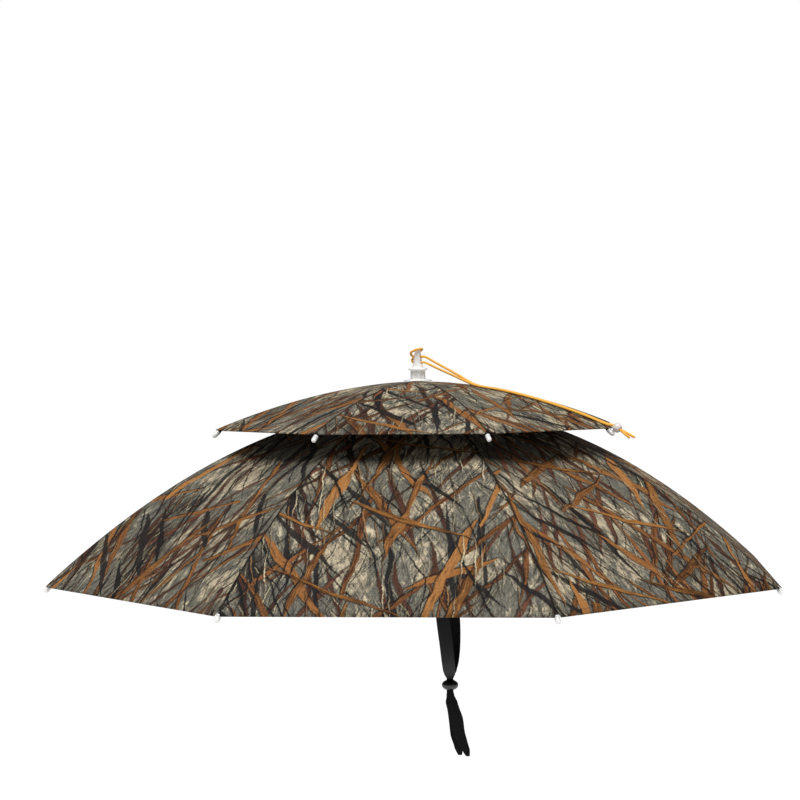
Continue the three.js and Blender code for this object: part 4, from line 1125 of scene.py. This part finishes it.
def strap_piece(side, word):
    slot_out = (STRAP_PARTING + STRAP_GATHER * STRAP_WALL) / 2
    band_out = oval_across * math.cos(strap_angle) + CLEARANCE + STRAP_WALL / 2
    places, sizes = [], []
    for ahead, out, down, width, wall, lie, lean, splay in strap_stations:
        forward = STRAP_AHEAD + (toggle_middle.x - STRAP_AHEAD) * ahead
        forward += STRAP_LEAN * lean - side * STRAP_SPLAY * splay
        outward = side * (slot_out + (band_out - slot_out) * out)
        places.append(Vector((forward, outward, toggle_middle.z * down)))
        sizes.append(Vector((width * STRAP_WIDTH / 2, wall * STRAP_WALL / 2,
                             side * band_turn * lie)))
    path, rings = smooth_path(places, STRAP_STEPS), []
    for index, point in enumerate(path):
        at, part = divmod(index, STRAP_STEPS)
        share = part / STRAP_STEPS
        size = sizes[at].lerp(sizes[min(at + 1, len(sizes) - 1)], share * share * (3 - 2 * share))
        run = path[min(index + 1, len(path) - 1)] - path[max(index - 1, 0)]
        wide = Vector((math.cos(size.z), math.sin(size.z), 0))
        face = Vector((-math.sin(size.z) * run.z, math.cos(size.z) * run.z, -run.y)).normalized()
        rings.append([point + wide * a + face * b for a, b in strip_section(size.x, size.y)])
    name = "chin_webbing_" + word
    return new_piece(name, strip_mesh(name, rings, strip_section(STRAP_WIDTH / 2, STRAP_WALL / 2)))


RIB_PITCH, YARN_PITCH = 1.1 * MM, 0.75 * MM
webbing, board, shader, across, along, fuzz = path_finish("black_webbing", {
    "Sheen Weight": 0.03, "Sheen Roughness": 0.5, "Specular IOR Level": 0.25}, 900)
ribs = (along * (2 * math.pi / RIB_PITCH)).wave()
sway = (along * (math.pi / RIB_PITCH)).math("SINE") * 3
yarns = (across * (2 * math.pi / YARN_PITCH) + sway).wave()
tone = board.mix(ribs * yarns * 0.7 + fuzz * 0.3, paint("#030304"), paint("#131315"))
board.dress(shader, tone, fuzz * 0.2 + 0.7, ribs * 0.7 + yarns * 0.4, 0.3 * MM, 0.8)
for side, word in ((1, "left"), (-1, "right")):
    piece = strap_piece(side, word)
    face_outwards(piece)
    piece.data.materials.append(webbing)
    pieces["strap_" + word] = (piece, ["chin_strap_" + word], "webbing")
    print(piece.name, len(piece.data.polygons), "faces")

# %% The head band
BAND_WALL, BAND_HEIGHT, BAND_STEPS = 2.8 * MM, 30 * MM, 160
CORD_PITCH, LOOP_PITCH = 2.4 * MM, 1.6 * MM
elastic, board, shader, across, along, fuzz = path_finish("knitted_elastic", {
    "Sheen Weight": 0.3, "Sheen Roughness": 0.5}, 800)
cords = (across * (2 * math.pi / CORD_PITCH)).wave()
loops = (along * (2 * math.pi / LOOP_PITCH) + cords * 2.5).wave()
tone = board.mix(cords * 0.5 + loops * 0.2 + fuzz * 0.3, paint("#0d0d0f"), paint("#303034"))
board.dress(shader, tone, fuzz * 0.2 + 0.7, cords + loops * 0.4, 0.4 * MM, 0.8)

section = strip_section(BAND_HEIGHT / 2, BAND_WALL / 2, 5)
middle_along, middle_across = BAND_ALONG + BAND_WALL / 2, BAND_ACROSS + BAND_WALL / 2
rings = []
for step in range(BAND_STEPS):
    angle = 2 * math.pi * step / BAND_STEPS
    middle = Vector((middle_along * math.cos(angle), middle_across * math.sin(angle), 0))
    out = Vector((middle.x / middle_along ** 2, middle.y / middle_across ** 2, 0)).normalized()
    rings.append([middle + Vector((0, 0, a)) + out * b for a, b in section])
band = new_piece("elastic_band", strip_mesh("elastic_band", rings, section, loop=True))
face_outwards(band)
band.data.materials.append(elastic)
pieces["band"] = (band, ["head_band"], "elastic")
print("band", len(band.data.polygons), "faces")

# %% [markdown]
# ## Everything rides on the one body
# The hat has no joints, so every piece rides on the root. Each new piece names the plain solids
# that it stands for.

FLAT_SPAN = 2.1
for piece, stands_for, slot_name in pieces.values():
    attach(piece, "root")
    if stands_for:
        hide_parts(*stands_for)
for word, tier, piece, area in (("lower", LOWER, lower_cloth, lower_area),
                                ("upper", UPPER, upper_cloth, upper_area)):
    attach(piece, "root")
    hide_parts(f"{word}_canopy")
    wide = FLAT_SPAN * tier["radius"]
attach(bead, "root")
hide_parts("cord_bead")
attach(cord, "root")
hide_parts("pull_cord")
print("declared:", len(pieces) + 4, "new pieces")

# %% [markdown]
# ## Floor and light
# The picture has a plain white ground and light from a large soft source above. The floor lies
# well below the hat. One broad lamp overhead gives the dark shade under the small canopy, and the
# sky opens it a little.

# %% Floor and lamps
FLOOR_HEIGHT, SKY_LIGHT = -1.2, 0.26
SUN_ENERGY, SUN_SPREAD, SUN_WAY = 3.65, math.radians(36), Vector((0.06, 1.05, -2.25))
bpy.ops.mesh.primitive_plane_add(size=60, location=(0, 0, FLOOR_HEIGHT))
floor = bpy.context.object
floor.name = "floor"
ground = new_material("pale_floor", {
    "Base Color": (0.82, 0.82, 0.82, 1), "Roughness": 0.9, "Specular IOR Level": 0.1})[0]
floor.data.materials.append(ground)

world = bpy.data.worlds.new("studio")
world.use_nodes = True
world.node_tree.nodes.clear()
bpy.context.scene.world = world
board = Board(world.node_tree)
seen = board.add("ShaderNodeLightPath")["Is Camera Ray"]
sky = board.add("ShaderNodeBackground", None, {
    "Color": (1, 1, 1, 1), "Strength": seen * (1 - SKY_LIGHT) + SKY_LIGHT})
board.add("ShaderNodeOutputWorld", None, {"Surface": sky["Background"]})
bpy.context.scene.view_settings.view_transform = "Standard"

light = bpy.data.lights.new("overhead", "SUN")
light.energy, light.angle = SUN_ENERGY, SUN_SPREAD
sun = bpy.data.objects.new("overhead", light)
sun.rotation_euler = SUN_WAY.to_track_quat("-Z", "Y").to_euler()
bpy.context.scene.collection.objects.link(sun)
print("sun's strength:", SUN_ENERGY, "sky's light on the hat:", SKY_LIGHT)
